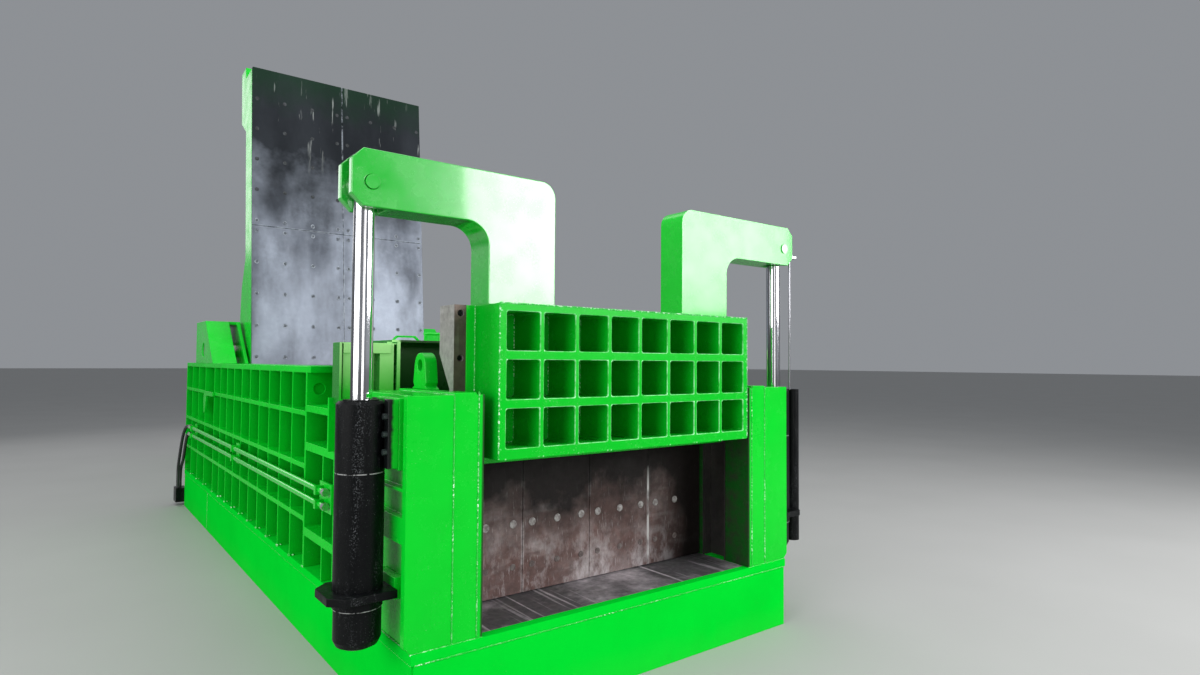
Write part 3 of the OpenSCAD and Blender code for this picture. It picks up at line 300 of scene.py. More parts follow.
def new_group(name, inputs, outputs):
    """An empty shader group with named sockets: inputs are (name, kind, value), outputs (name, kind)."""
    tree = bpy.data.node_groups.new(name, "ShaderNodeTree")
    for label, kind, value in inputs:
        socket = tree.interface.new_socket(label, in_out="INPUT", socket_type=kind)
        socket.default_value = (*value, 1) if kind == COLOUR else value
    for label, kind in outputs:
        tree.interface.new_socket(label, in_out="OUTPUT", socket_type=kind)
    source = tree.nodes.new("NodeGroupInput")
    result = tree.nodes.new("NodeGroupOutput")
    return tree, source.outputs, result.inputs


def new_material(name, **shader):
    """A material whose Principled BSDF has these plain values on its own sockets."""
    material = bpy.data.materials.new(name)
    material.use_nodes = True
    principled = material.node_tree.nodes["Principled BSDF"]
    for key, value in shader.items():
        principled.inputs[key.replace("_", " ")].default_value = value
    return material, material.node_tree, principled, object_place(material.node_tree)


def use_group(tree, group, **inputs):
    return add(tree, "ShaderNodeGroup", {"node_tree": group}, **inputs).outputs


def mask(tree, group, **inputs):
    return use_group(tree, group, **inputs)["Mask"]


def bump(height, strength, distance):
    return add_after("ShaderNodeBump", Height=height, Strength=strength, Distance=distance).outputs[0]


def feed(node, **links):
    """Gives links to a node's sockets, or to a list of sockets, by name."""
    for name, value in links.items():
        give(getattr(node, "inputs", node)[name.replace("_", " ")], value)


FLOAT, COLOUR, VECTOR = "NodeSocketFloat", "NodeSocketColor", "NodeSocketVector"
print("recipes take", FLOAT, COLOUR, "and", VECTOR)

# %% [markdown]
# Fresh paint sprayed over mill plate is never one colour. It is thinner and darker where the gun
# did not reach, paler where it went over twice, and it dries with an orange-peel skin.
# The group below gives a colour, a roughness and a height, and every green part uses it.

# %% Sprayed paint


def sprayed_paint():
    tree, given, out = new_group(
        "sprayed_paint",
        [("Fresh", COLOUR, (0.01, 0.6, 0.04)), ("Thin", COLOUR, (0.01, 0.3, 0.03)),
         ("Dust", COLOUR, (0.6, 0.85, 0.6)), ("Cloud", FLOAT, 0.5), ("Speckle", FLOAT, 0.5)],
        [("Colour", COLOUR), ("Roughness", FLOAT), ("Height", FLOAT)])
    place = object_place(tree)
    cloud = noise(place, 1.7, 5.0, 0.6)
    patch = noise(place, 7.0, 5.0, 0.65)
    thin = ramp(cloud, 0.42, 0.72)
    colour = blend_colour(product(thin, given["Cloud"]), given["Fresh"], given["Thin"])
    spots = ramp(noise(place, 190.0, 2.0), 0.66, 0.74)
    where = ramp(patch, 0.45, 0.65)
    dust = product(product(spots, where), given["Speckle"])
    colour = blend_colour(dust, colour, given["Dust"])
    rough = total(ramp(patch, 0.3, 0.7, 0.16, 0.34), product(spots, 0.2))
    peel = noise(place, 240.0, 2.0)
    plate = noise(place, 11.0, 3.0)
    height = total(product(peel, 0.35), plate)
    height = total(height, product(spots, 0.5))
    feed(out, Colour=colour, Roughness=rough, Height=height)
    return tree


PAINT = sprayed_paint()
print("paint recipe of", len(PAINT.nodes), "nodes")

# %% [markdown]
# Steel that has been handled shows dark scale, brighter rubbed patches and fine scratches.
# A second group mixes the three from noises of different sizes, and one stretched noise makes
# scratches that run along one axis. The stretch is an input, so each plate has its own grain.

# %% Handled steel


def handled_steel():
    tree, given, out = new_group(
        "handled_steel",
        [("Scale Colour", COLOUR, (0.08, 0.08, 0.09)), ("Rubbed", COLOUR, (0.3, 0.31, 0.34)),
         ("Rust", COLOUR, (0.16, 0.09, 0.06)), ("Grain", VECTOR, (40.0, 40.0, 2.0)),
         ("Rub", FLOAT, 0.5), ("Rust Amount", FLOAT, 0.3)],
        [("Colour", COLOUR), ("Roughness", FLOAT), ("Height", FLOAT)])
    place = object_place(tree)
    cloud = noise(place, 1.9, 6.0, 0.62)
    fleck = noise(place, 26.0, 5.0, 0.6)
    grain = noise(stretched(place, given["Grain"]), 1.0, 3.0)
    rub = product(ramp(cloud, 0.44, 0.66), given["Rub"])
    lines = product(ramp(grain, 0.58, 0.72), given["Rub"])
    rubbed = larger(rub, lines)
    blooms = ramp(noise(place, 5.0, 6.0, 0.7), 0.48, 0.68)
    rust = product(blooms, given["Rust Amount"])
    colour = blend_colour(rubbed, given["Scale Colour"], given["Rubbed"])
    colour = blend_colour(rust, colour, given["Rust"])
    colour = blend_colour(ramp(fleck, 0.35, 0.65, 0.0, 0.35), colour, (0.02, 0.02, 0.02))
    rough = difference(ramp(fleck, 0.3, 0.7, 0.42, 0.66), product(rubbed, 0.16))
    height = total(product(fleck, 0.6), product(grain, 0.5))
    feed(out, Colour=colour, Roughness=rough, Height=height)
    return tree


STEEL = handled_steel()
print("steel recipe of", len(STEEL.nodes), "nodes")

# %% [markdown]
# Two masks serve several finishes: streaks that run along one axis, and a soft, ragged band between
# two heights, for what gathers at the foot or hangs about the top. Each gives a number from 0 to 1.

# %% Masks


def streak_mask():
    tree, given, out = new_group("streaks", [("Width", VECTOR, (9.0, 9.0, 0.5)), ("From", FLOAT, 0.55),
                                             ("To", FLOAT, 0.75)], [("Mask", FLOAT)])
    run = noise(stretched(object_place(tree), given["Width"]), 1.0, 4.0, 0.6)
    feed(out, Mask=ramp(run, given["From"], given["To"]))
    return tree


def band_mask():
    tree, given, out = new_group("band", [("Low", FLOAT, 0.0), ("High", FLOAT, 1.0), ("Break", FLOAT, 0.2),
                                          ("Grain", FLOAT, 4.0)], [("Mask", FLOAT)])
    place = object_place(tree)
    uneven = difference(noise(place, given["Grain"], 5.0, 0.65), 0.5)
    level = total(along(place, "Z"), product(uneven, given["Break"]))
    feed(out, Mask=ramp(level, given["Low"], given["High"]))
    return tree


STREAKS = streak_mask()
BAND = band_mask()
print("masks:", STREAKS.name, "and", BAND.name)

# %% [markdown]
# The gate's front is a grid of pockets, welded from bars. Every pocket is drawn round with a broken pale line:
# a painted highlight where the front edges of the bars catch the light.
# The grid is even, so the line needs no drawing: a coordinate, taken modulo one step of the grid,
# says how far the nearest edge is. The same sizes serve the welds further on.

# %% Painted highlights on the edges of the gate's pockets
grid_low, grid_high = (Vector(c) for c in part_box("gate_grid"))
RIM_SIDE, RIB, RIM_TOP, SHELF, RIM_BOTTOM = 0.035, 0.022, 0.034, 0.042, 0.050
COLUMNS, ROWS = 8, 3
pocket_w = (grid_high.x - grid_low.x - 2 * RIM_SIDE - (COLUMNS - 1) * RIB) / COLUMNS
pocket_h = (grid_high.z - grid_low.z - RIM_TOP - RIM_BOTTOM - (ROWS - 1) * SHELF) / ROWS
print("pockets:", COLUMNS, "x", ROWS, "of", round(pocket_w, 3), "x", round(pocket_h, 3), "m")


def row_of_openings(value, start, opening, rib, count):
    """Two masks along one axis: close to an edge of an opening, and inside an opening."""
    step = opening + rib
    half = (count * step - rib) / 2
    local = math_node("FLOORED_MODULO", difference(value, start), step)
    first = smaller(local, difference(step, local))
    nearest = smaller(first, away_from(local, opening))
    in_grid = math_node("LESS_THAN", away_from(value, start + half), half + 0.008)
    edge = product(ramp(nearest, 0.0016, 0.0042, 1.0, 0.0), in_grid)
    return edge, math_node("LESS_THAN", local, opening)


def pocket_edge_highlights(place):
    across, up = along(place, "X"), along(place, "Z")
    edge_x, in_x = row_of_openings(across, grid_low.x + RIM_SIDE, pocket_w, RIB, COLUMNS)
    edge_z, in_z = row_of_openings(up, grid_low.z + RIM_BOTTOM, pocket_h, SHELF, ROWS)
    drawn = larger(product(edge_x, in_z), product(edge_z, in_x))
    on_front = ramp(along(place, "Y"), grid_low.y + 0.008, grid_low.y + 0.004)
    return product(drawn, on_front)


# %% [markdown]
# Some green parts get a layer over the sprayed paint. A layer is a small function that takes the colour so far
# and gives it back changed. It finds its place by height, by the distance from the machine's middle or by the
# way a face looks: mud along the foot, mint overspray on the portal's front with painted shade on its sides and
# in its opening, painted shade on the ribs and in the pockets, painted highlights round the pockets' front
# edges, and darker, patchy paint on the inner faces of the columns.

# %% Layers over the green
FRESH = (0.001, 0.58, 0.022)
DEEP = (0.001, 0.36, 0.012)
PALE = (0.62, 0.95, 0.66)


def muddy_foot(tree, place, colour):
    low = mask(tree, BAND, Low=0.16, High=0.0, Break=0.22, Grain=3.0)
    return blend_colour(product(low, 0.04), colour, (0.16, 0.13, 0.10))


def misted_and_shaded_portal(tree, place, colour):
    high = mask(tree, BAND, Low=1.44, High=1.68, Break=0.10, Grain=3.0)
    front = ramp(facing(tree, "Y"), -0.5, -0.8)
    colour = blend_colour(product(high, front), colour, (0.52, 0.95, 0.38))
    # painted shade: the portal's faces that look sideways are darkened
    flank = ramp(away_from(facing(tree, "X")), 0.5, 0.8, 0.0, 0.85)
    colour = blend_colour(flank, colour, (0.003, 0.15, 0.012))
    # painted shade: near-black on the front faces between the columns, in the portal's opening
    opening_shade = product(ramp(away_from(along(place, "X")), 0.885, 0.865), front)
    return blend_colour(product(opening_shade, 0.95), colour, (0.002, 0.020, 0.005))


def shaded_ribs(tree, place, colour):
    rib_side = ramp(away_from(facing(tree, "Y")), 0.5, 0.8)
    deep = ramp(away_from(along(place, "X")), 1.195, 1.10, 0.15, 0.72)
    return blend_colour(product(rib_side, deep), colour, (0.001, 0.20, 0.006))


def shaded_pockets(tree, place, colour):
    deep = ramp(along(place, "Y"), grid_low.y + 0.012, grid_low.y + 0.10, 0.0, 0.36)
    colour = blend_colour(deep, colour, (0.001, 0.13, 0.004))
    broken = ramp(noise(place, 15.0, 6.0, 0.75), 0.42, 0.60, 0.10, 0.85)
    # painted highlight: a broken pale line round each pocket's front edge, where the bars' edges catch the
    # light
    return blend_colour(product(pocket_edge_highlights(place), broken), colour, (0.42, 0.95, 0.50))


def darker_inside(tree, place, colour):
    # darker, patchy green and grey on the inner faces of the columns
    behind = ramp(away_from(along(place, "X")), 0.897, 0.889)
    patchy = ramp(noise(place, 9.0, 6.0, 0.7), 0.4, 0.65)
    dark_patches = blend_colour(patchy, (0.006, 0.085, 0.010), (0.030, 0.040, 0.024))
    return blend_colour(behind, colour, dark_patches)


print("fresh green:", FRESH, "thin green:", DEEP)

# %% [markdown]
# The main green is bright and glossy. The arms have a clear coat that mirrors the brightest light, the far arm
# less of it. The base and the walls are nearly matt, because they are seen at a flat angle, where gloss would
# turn them grey. The cover is a darker copy of the green, painted shade for a part that stands in shadow, and
# the portal is a yellowish green.

# %% Green paints


def green_paint(name, fresh=FRESH, thin=DEEP, cloud=0.35, speckle=0.45, layer=None, coat=0.0, gloss=0.3,
                skin_bump=0.22):
    material, tree, shader, place = new_material(name, Coat_Weight=coat, Coat_Roughness=0.07,
                                                 Specular_IOR_Level=gloss)
    skin = use_group(tree, PAINT, Fresh=fresh, Thin=thin, Dust=PALE, Cloud=cloud, Speckle=speckle)
    colour = layer(tree, place, skin["Colour"]) if layer else skin["Colour"]
    feed(shader, Base_Color=colour, Roughness=skin["Roughness"],
         Normal=bump(skin["Height"], skin_bump, 0.0022))
    return material


green_main = green_paint("green_gloss")
green_side = green_paint("green_side", cloud=0.30, speckle=0.20, layer=shaded_ribs, gloss=0.03, skin_bump=0.10)
green_pipe = green_paint("green_pipe", cloud=0.10, speckle=0.15, coat=0.5, gloss=0.5)
green_arm = green_paint("green_arm", (0.001, 0.44, 0.018), speckle=0.7, coat=1.0, gloss=0.65)
green_far_arm = green_paint("green_far_arm", speckle=0.7, coat=0.45, gloss=0.40)
green_column = green_paint("green_column", layer=darker_inside, gloss=0.12)
green_base = green_paint("green_base", (0.001, 0.64, 0.028), cloud=0.22, speckle=0.05, layer=muddy_foot,
                         gloss=0.0, skin_bump=0.06)
green_grid = green_paint("green_grid", (0.001, 0.50, 0.018), layer=shaded_pockets, gloss=0.12)
# painted shade: a darker copy of the green, for the channel cover that stands in shadow
green_shade = green_paint("green_shade", (0.004, 0.26, 0.02), (0.003, 0.10, 0.01), 0.8, 0.2)
green_yellow = green_paint("green_overspray_and_shade", (0.01, 0.58, 0.03), (0.26, 0.66, 0.16), 0.7, 0.25,
                           layer=misted_and_shaded_portal)
print("greens:", [m.name for m in bpy.data.materials if m.name.startswith("green")])

# %% [markdown]
# The lift barrels are black with dust in the paint. Pale grit specks gather in vertical streaks and stand in
# part for the speckled highlights of the gloss paint, so they are painted highlight as well as grit. Two pale,
# broken rings run round each barrel. The pads that clamp the barrels to the columns got the black overspray
# next to the barrel and kept their green further out.

# %% Black paint and clamp pads
RING_HEIGHTS = (1.133, 0.575)
PAD_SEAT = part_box("lift_pads")[1][0] - 0.046


def black_paint(name, rings=()):
    material, tree, shader, place = new_material(name, Specular_IOR_Level=0.10)
    skin = use_group(tree, PAINT, Fresh=(0.002, 0.0025, 0.003), Thin=(0.006, 0.007, 0.007),
                     Dust=(0.16, 0.17, 0.17), Cloud=0.8, Speckle=0.6)
    # partly painted highlight: pale grit specks in vertical streaks stand in for the speckled highlights of
    # gloss paint
    grit = ramp(noise(place, 150.0, 3.0, 0.6), 0.54, 0.62)
    rubbed = mask(tree, STREAKS, Width=(13.0, 13.0, 1.6), From=0.50, To=0.62)
    grit_and_glints = product(product(grit, rubbed), 0.36)
    colour = blend_colour(grit_and_glints, skin["Colour"], (0.17, 0.18, 0.19))
    chips = ramp(noise(place, 40.0, 4.0), 0.38, 0.52)
    # two pale, broken rings round the barrel
    for height in rings:
        off_ring = away_from(along(place, "Z"), height)
        ring = product(ramp(off_ring, 0.0012, 0.0028, 0.8, 0.0), chips)
        colour = blend_colour(ring, colour, (0.42, 0.43, 0.42))
    feed(shader, Base_Color=colour, Roughness=total(skin["Roughness"], 0.10),
         Normal=bump(skin["Height"], 0.55, 0.004))
    return material


def pad_finish():
    material, tree, shader, place = new_material("pad_paint", Specular_IOR_Level=0.3, Roughness=0.3)
    rough_edge = product(noise(place, 30.0, 4.0), 0.02)
    ragged = total(away_from(along(place, "X")), rough_edge)
    outer = ramp(ragged, PAD_SEAT + 0.032, PAD_SEAT + 0.042)
    skin = use_group(tree, PAINT, Fresh=FRESH, Thin=DEEP, Dust=PALE, Cloud=0.5, Speckle=0.3)
    feed(shader, Base_Color=blend_colour(outer, skin["Colour"], (0.006, 0.008, 0.008)),
         Normal=bump(skin["Height"], 0.3, 0.003))
    return material


black_main = black_paint("black_gloss")
black_barrel = black_paint("black_barrel", RING_HEIGHTS)
pad_paint = pad_finish()
print("rings at", RING_HEIGHTS, "m, pads meet the barrel at", round(PAD_SEAT, 3), "m from the middle")

# %% [markdown]
# The rods are hard chrome. Chrome mirrors what stands around it; besides, broad and fine bands along the rod
# are painted into its colour as light and dark reflections, and where the broad bands are dark the chrome is
# also rougher, like a film of oil. Small metals share one recipe: two tones mixed by a fine noise, which also
# sets the roughness and a faint bump.

# %% Chrome and small metals


def chrome_rod():
    material, tree, shader, place = new_material("chrome", Metallic=1.0)
    broad = mask(tree, STREAKS, Width=(34.0, 34.0, 0.15), From=0.48, To=0.56)
    fine = mask(tree, STREAKS, Width=(120.0, 120.0, 0.4), From=0.52, To=0.66)
    # painted reflection: light and dark bands along the rod
    reflection_bands = blend_colour(broad, (0.90, 0.91, 0.93), (0.30, 0.30, 0.32))
    reflection_bands = blend_colour(product(fine, 0.5), reflection_bands, (0.22, 0.22, 0.23))
    feed(shader, Base_Color=reflection_bands, Roughness=ramp(broad, 0.0, 1.0, 0.07, 0.20))
    return material


def plain_metal(name, colour, worn, rough, metallic=1.0, grain=30.0):
    material, tree, shader, place = new_material(name, Metallic=metallic)
    fine = noise(place, grain, 4.0, 0.6)
    feed(shader, Base_Color=blend_colour(ramp(fine, 0.4, 0.65), colour, worn),
         Roughness=ramp(fine, 0.3, 0.7, rough, rough + 0.16), Normal=bump(fine, 0.12, 0.001))
    return material


chrome_main = chrome_rod()
machined = plain_metal("machined_steel", (0.56, 0.55, 0.53), (0.42, 0.41, 0.39), 0.28)
zinc = plain_metal("zinc_fitting", (0.62, 0.62, 0.60), (0.42, 0.43, 0.42), 0.25, grain=90.0)
rubber = plain_metal("hose_skin", (0.018, 0.018, 0.02), (0.035, 0.035, 0.036), 0.42, metallic=0.0,
                     grain=160.0)
print("metals:", chrome_main.name, machined.name, zinc.name, "and", rubber.name)

# %% [markdown]
# The lid is lined with thick wear plates. They are blue-grey and cloudy, black with soot towards the
# tip, with a little green mist there and a few white runs. The seams between the plates are rubbed
# pale in places. Soot is matt and doesn't mirror, so it also takes away the metal's shine.

# %% Lid lining
LID_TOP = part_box("lid_liner")[1][2]
LID_SEAM_Z = 2.931


def below_tip(tree, low, high, ragged, grain):
    """A mask that grows towards the lid's tip, from one depth below it to another."""
    return mask(tree, BAND, Low=LID_TOP - low, High=LID_TOP - high, Break=ragged, Grain=grain)


def lid_lining():
    material, tree, shader, place = new_material("lid_plate", Specular_IOR_Level=0.2)
    steel = use_group(tree, STEEL, Scale_Colour=(0.125, 0.14, 0.175), Rubbed=(0.36, 0.40, 0.48),
                      Rust=(0.10, 0.085, 0.08), Grain=(7.0, 7.0, 1.6), Rub=0.75, Rust_Amount=0.25)
    drift = noise(stretched(place, (1.9, 1.9, 0.75)), 1.0, 4.0, 0.55)
    colour = blend_colour(ramp(drift, 0.40, 0.64), (0.060, 0.068, 0.086), (0.34, 0.375, 0.45))
    colour = blend_colour(0.35, colour, steel["Colour"])
    blackening = below_tip(tree, 1.55, 0.75, 1.6, 1.3)
    colour = blend_colour(product(blackening, 0.94), colour, (0.006, 0.008, 0.011))
    run = mask(tree, STREAKS, Width=(16.0, 16.0, 0.9), From=0.62, To=0.69)
    run = product(product(run, below_tip(tree, 1.05, 0.45, 0.5, 3.0)), 0.6)
    colour = blend_colour(run, colour, (0.45, 0.48, 0.47))
    mist = below_tip(tree, 0.42, 0.02, 0.45, 5.0)
    colour = blend_colour(product(mist, 0.6), colour, (0.003, 0.032, 0.010))
    off_seam = smaller(away_from(along(place, "X")), away_from(along(place, "Z"), LID_SEAM_Z))
    rubbed = ramp(noise(place, 12.0, 5.0, 0.7), 0.44, 0.58)
    joint = product(ramp(off_seam, 0.003, 0.009, 0.8, 0.0), rubbed)
    colour = blend_colour(joint, colour, (0.46, 0.50, 0.56))
    clean = difference(1.0, larger(blackening, mist))
    feed(shader, Base_Color=colour, Metallic=product(clean, 0.35),
         Roughness=ramp(clean, 0.0, 1.0, 0.85, 0.44), Normal=bump(steel["Height"], 0.06, 0.002))
    return material


lid_plate = lid_lining()
print("the lid's tip is at", round(LID_TOP, 3), "m, its level seam at", LID_SEAM_Z, "m")

# %% [markdown]
# The ram's face is brown raw plate, scuffed by the steel that it has already pushed. Its seams are rubbed,
# smears and slanted nicks lie on its lower half, the colour turns near-black towards the top and the right-hand
# side, and the last seam carries a painted highlight, a broken pale line that fades out towards the top. The
# floor in front of it is dark and rubbed in streaks.

# %% Ram, floor and wear plates
RAM_SEAMS = (-0.437, 0.0, 0.437)


def ram_plate():
    material, tree, shader, place = new_material("ram_plate", Specular_IOR_Level=0.12)
    steel = use_group(tree, STEEL, Scale_Colour=(0.140, 0.086, 0.080), Rubbed=(0.40, 0.35, 0.35),
                      Rust=(0.12, 0.055, 0.045), Grain=(2.5, 20.0, 9.0), Rub=0.6, Rust_Amount=0.6)
    across = along(place, "X")
    rub = 0.0
    for seam in RAM_SEAMS:
        rub = larger(rub, ramp(away_from(across, seam), 0.003, 0.014, 1.0, 0.0))
    rub = product(rub, ramp(noise(place, 6.0, 5.0, 0.7), 0.44, 0.60))
    smear = ramp(noise(stretched(place, (5.5, 5.5, 3.2)), 1.0, 7.0, 0.72), 0.49, 0.62)
    low = mask(tree, BAND, Low=0.74, High=0.44, Break=0.5, Grain=2.6)
    smear = product(product(smear, low), 0.62)
    nick = noise(stretched(place, (150, 150, 16), (0, 0.6, 0)), 1.0, 3.0, 0.6)
    nick = product(ramp(nick, 0.62, 0.70), 0.45)
    pale = larger(product(rub, 0.8), larger(smear, nick))
    colour = blend_colour(pale, steel["Colour"], (0.52, 0.48, 0.49))

    # near-black towards the top and the right-hand side of the face
    wander = product(noise(place, 3.0, 4.0), 0.35)
    right = ramp(total(across, wander), 0.50, 0.90)
    blackening = mask(tree, BAND, Low=0.60, High=0.92, Break=0.70, Grain=2.6)
    blackening = product(larger(blackening, right), 0.96)
    colour = blend_colour(blackening, colour, (0.005, 0.004, 0.004))

    # painted highlight: a broken pale line along the last seam, fading out towards the top
    seam_highlight = product(ramp(away_from(across, RAM_SEAMS[-1]), 0.003, 0.010, 1.0, 0.0),
                     ramp(noise(place, 9.0, 3.0), 0.36, 0.50, 0.15, 0.95))
    seam_highlight = product(seam_highlight, mask(tree, BAND, Low=0.98, High=0.86, Break=0.1, Grain=4.0))
    feed(shader, Base_Color=blend_colour(seam_highlight, colour, (0.62, 0.60, 0.60)),
         Roughness=steel["Roughness"], Normal=bump(steel["Height"], 0.3, 0.003))
    return material


def wear_plate(name, scale_colour, rubbed, rust, grain, rub, rust_amount, mist=0.0):
    material, tree, shader, place = new_material(name, Metallic=0.3)
    steel = use_group(tree, STEEL, Scale_Colour=scale_colour, Rubbed=rubbed, Rust=rust, Grain=grain,
                      Rub=rub, Rust_Amount=rust_amount)
    colour = steel["Colour"]
    if mist:
        drift = ramp(noise(place, 6.0, 6.0, 0.7), 0.5, 0.75)
        colour = blend_colour(product(drift, mist), colour, (0.01, 0.22, 0.03))
    feed(shader, Base_Color=colour, Roughness=steel["Roughness"],
         Normal=bump(steel["Height"], 0.25, 0.002))
    return material


ram_face_plate = ram_plate()
floor_wear = wear_plate("floor_wear_plate", (0.11, 0.10, 0.11), (0.72, 0.64, 0.70),
                        (0.15, 0.12, 0.12), (34.0, 1.0, 34.0), 1.0, 0.3, mist=0.05)
side_wear = wear_plate("side_wear_plate", (0.06, 0.06, 0.065), (0.20, 0.20, 0.22),
                       (0.12, 0.075, 0.055), (30.0, 3.0, 30.0), 0.5, 0.4)
raw_brown = wear_plate("raw_brown_steel", (0.13, 0.10, 0.09), (0.30, 0.27, 0.25),
                       (0.13, 0.075, 0.05), (20.0, 20.0, 3.0), 0.45, 0.5)
# painted shade: the raw brown steel darkened, for the liners deep in the gate's slot
slot_shade_steel = wear_plate("slot_shaded_steel", (0.030, 0.026, 0.026), (0.12, 0.105, 0.10),
                       (0.06, 0.035, 0.028), (20.0, 20.0, 3.0), 0.45, 0.4)
bolt_dark = wear_plate("dark_bolts", (0.012, 0.022, 0.022), (0.07, 0.10, 0.09),
                       (0.02, 0.04, 0.03), (60.0, 60.0, 60.0), 0.5, 0.3, mist=0.55)
print("plates:", [m.name for m in (ram_face_plate, floor_wear, side_wear, raw_brown, slot_shade_steel, bolt_dark)])

# %% [markdown]
# The guide bars at the gate's sides are machined bright where they slide and raw on their front.
# Which is which depends on the way a face looks, so that mask chooses between two steels.

# %% Guide bars


def guide_steel():
    material, tree, shader, place = new_material("guide_steel", Metallic=0.55)
    flank = ramp(away_from(facing(tree, "X")), 0.4, 0.6)
    raw = use_group(tree, STEEL, Scale_Colour=(0.12, 0.085, 0.075), Rubbed=(0.24, 0.20, 0.18),
                    Rust=(0.13, 0.07, 0.05), Grain=(20.0, 20.0, 4.0), Rub=0.5, Rust_Amount=0.5)
    cut = use_group(tree, STEEL, Scale_Colour=(0.50, 0.48, 0.46), Rubbed=(0.66, 0.65, 0.63),
                    Rust=(0.35, 0.32, 0.29), Grain=(4.0, 4.0, 60.0), Rub=0.6, Rust_Amount=0.4)
    feed(shader, Base_Color=blend_colour(flank, raw["Colour"], cut["Colour"]),
         Roughness=difference(raw["Roughness"], 0.05),
         Normal=bump(raw["Height"], 0.25, 0.002))
    return material


guide_metal = guide_steel()
print("guide bars:", guide_metal.name, "of", len(guide_metal.node_tree.nodes), "nodes")

# %% [markdown]
# The studio floor has its own pale matt finish, a little uneven so that shadows have something to lie on.

# %% Studio floor finish


def pale_floor():
    material, tree, shader, place = new_material("pale_floor", Roughness=0.75)
    uneven = noise(place, 0.8, 3.0)
    feed(shader, Base_Color=blend_colour(uneven, (0.40, 0.40, 0.39), (0.45, 0.45, 0.44)))
    return material


floor.data.materials.append(pale_floor())
print("the floor wears", floor.data.materials[0].name)

# %% [markdown]
# Every solid now gets its finish. Solids whose edges show are copied first: the loose triangles are
# merged, flat ones are joined into whole faces and a small bevel is put on the sharp edges, because
# flame-cut and ground plate never has a knife edge and the bevel is what catches the light.

# %% Finishes for the solids
WEARS = (
    (green_base, "base_frame"),
    (green_side, "left_wall", "right_wall", "left_front_bay", "right_front_bay"),
    (green_column, "left_column", "right_column"),
    (green_yellow, "cover_portal"),
    (green_main, "cover_handles", "lifting_lugs", "left_pedestal", "right_pedestal"),
    (bolt_dark, "pad_bolts"),
    (green_main, "lift_brackets"),
    (green_pipe, "pipe_upper", "pipe_lower"),
    (green_main, "pipe_brackets", "hook_plate"),
    (green_grid, "gate_grid"),
    (green_main, "gate_slab"),
    (green_arm, "arm_left"),
    (green_far_arm, "arm_right"),
    (green_arm, "arm_pins"),
    (green_main, "lid_frame"),
    (green_shade, "channel_cover"),
    (green_main, "crosshead", "main_barrel", "cylinder_stand", "lid_horns", "lid_anchors"),
    (black_barrel, "lift_barrel_left", "lift_barrel_right"),
    (black_main, "lift_glands", "lift_flanges"),
    (pad_paint, "lift_pads"),
    (black_main, "guide_tube", "hose_block", "lid_barrel_left", "lid_barrel_right", "main_flange_bolts"),
    (floor_wear, "floor_plate"),
    (side_wear, "wall_liners"),
    (lid_plate, "lid_liner"),
    (slot_shade_steel, "slot_liners"),
    (guide_metal, "gate_guides"),
    (raw_brown, "ram_body"),
    (ram_face_plate, "ram_face"),
    (chrome_main, "lift_rods", "thin_rod", "main_rod"),
    (raw_brown, "rod_ends"),
    (chrome_main, "lid_rod_left", "lid_rod_right"),
    (machined, "lid_hinge_pins", "main_gland"),
    (zinc, "pipe_fittings"),
    (machined, "horn_pins", "anchor_pins"),
)
FINISH = {node: finish for finish, *nodes in WEARS for node in nodes}
WIDTHS = {
    0.006: ("base_frame", "left_column", "right_column", "arm_left", "arm_right", "lid_frame", "crosshead"),
    0.005: ("lifting_lugs", "left_pedestal", "right_pedestal", "gate_slab"),
    0.004: ("left_wall", "right_wall", "left_front_bay", "right_front_bay", "cover_portal", "gate_grid",
            "gate_guides", "lid_horns", "lid_liner", "lid_anchors", "cylinder_stand"),
    0.003: ("lift_brackets", "lift_flanges", "lift_pads", "hook_plate", "ram_face"),
}
BEVELS = {node: width for width, nodes in WIDTHS.items() for node in nodes}
SAME_POINT = 0.00002
FLAT_WITHIN = math.radians(0.5)
SHARP_FROM = math.radians(35)


def body_name(node):
    return frame["nodes"][node]["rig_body"]


def bevelled(node, width):
    """A copy of a solid with whole faces and small rounded edges, which then stands for it."""
    mesh = frame["nodes"][node].data.copy()
    shape = bmesh.new()
    shape.from_mesh(mesh)
    bmesh.ops.remove_doubles(shape, verts=shape.verts, dist=SAME_POINT)
    bmesh.ops.dissolve_limit(shape, angle_limit=FLAT_WITHIN, verts=shape.verts, edges=shape.edges)
    shape.to_mesh(mesh)
    shape.free()
    piece = new_object(node + "_dressed", mesh)
    rounding = piece.modifiers.new("edges", "BEVEL")
    rounding.width = width
    rounding.segments = 2
    rounding.limit_method = "ANGLE"
    rounding.angle_limit = SHARP_FROM
    weighting = piece.modifiers.new("flat_faces", "WEIGHTED_NORMAL")
    weighting.weight = 100
    weighting.keep_sharp = False
    for face in mesh.polygons:
        face.use_smooth = True
    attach(piece, body_name(node))
    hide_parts(node)
    return piece


shown = {}
for node, finish in FINISH.items():
    shown[node] = bevelled(node, BEVELS[node]) if node in BEVELS else frame["nodes"][node]
    shown[node].data.materials.clear()
    shown[node].data.materials.append(finish)
for piece in hoses:
    piece.data.materials.append(rubber)
print("finished solids:", len(FINISH), "with rounded edges:", len(BEVELS))

# %% [markdown]
# Small repeated things are made with Geometry Nodes. The first tree puts a bolt head on every vertex
# of a mesh that has only points: a cylinder with a chamfered top, turned to face one way.
# The instances are realized and get their material in the tree, and the result becomes plain mesh.

# %% Bolt heads from points


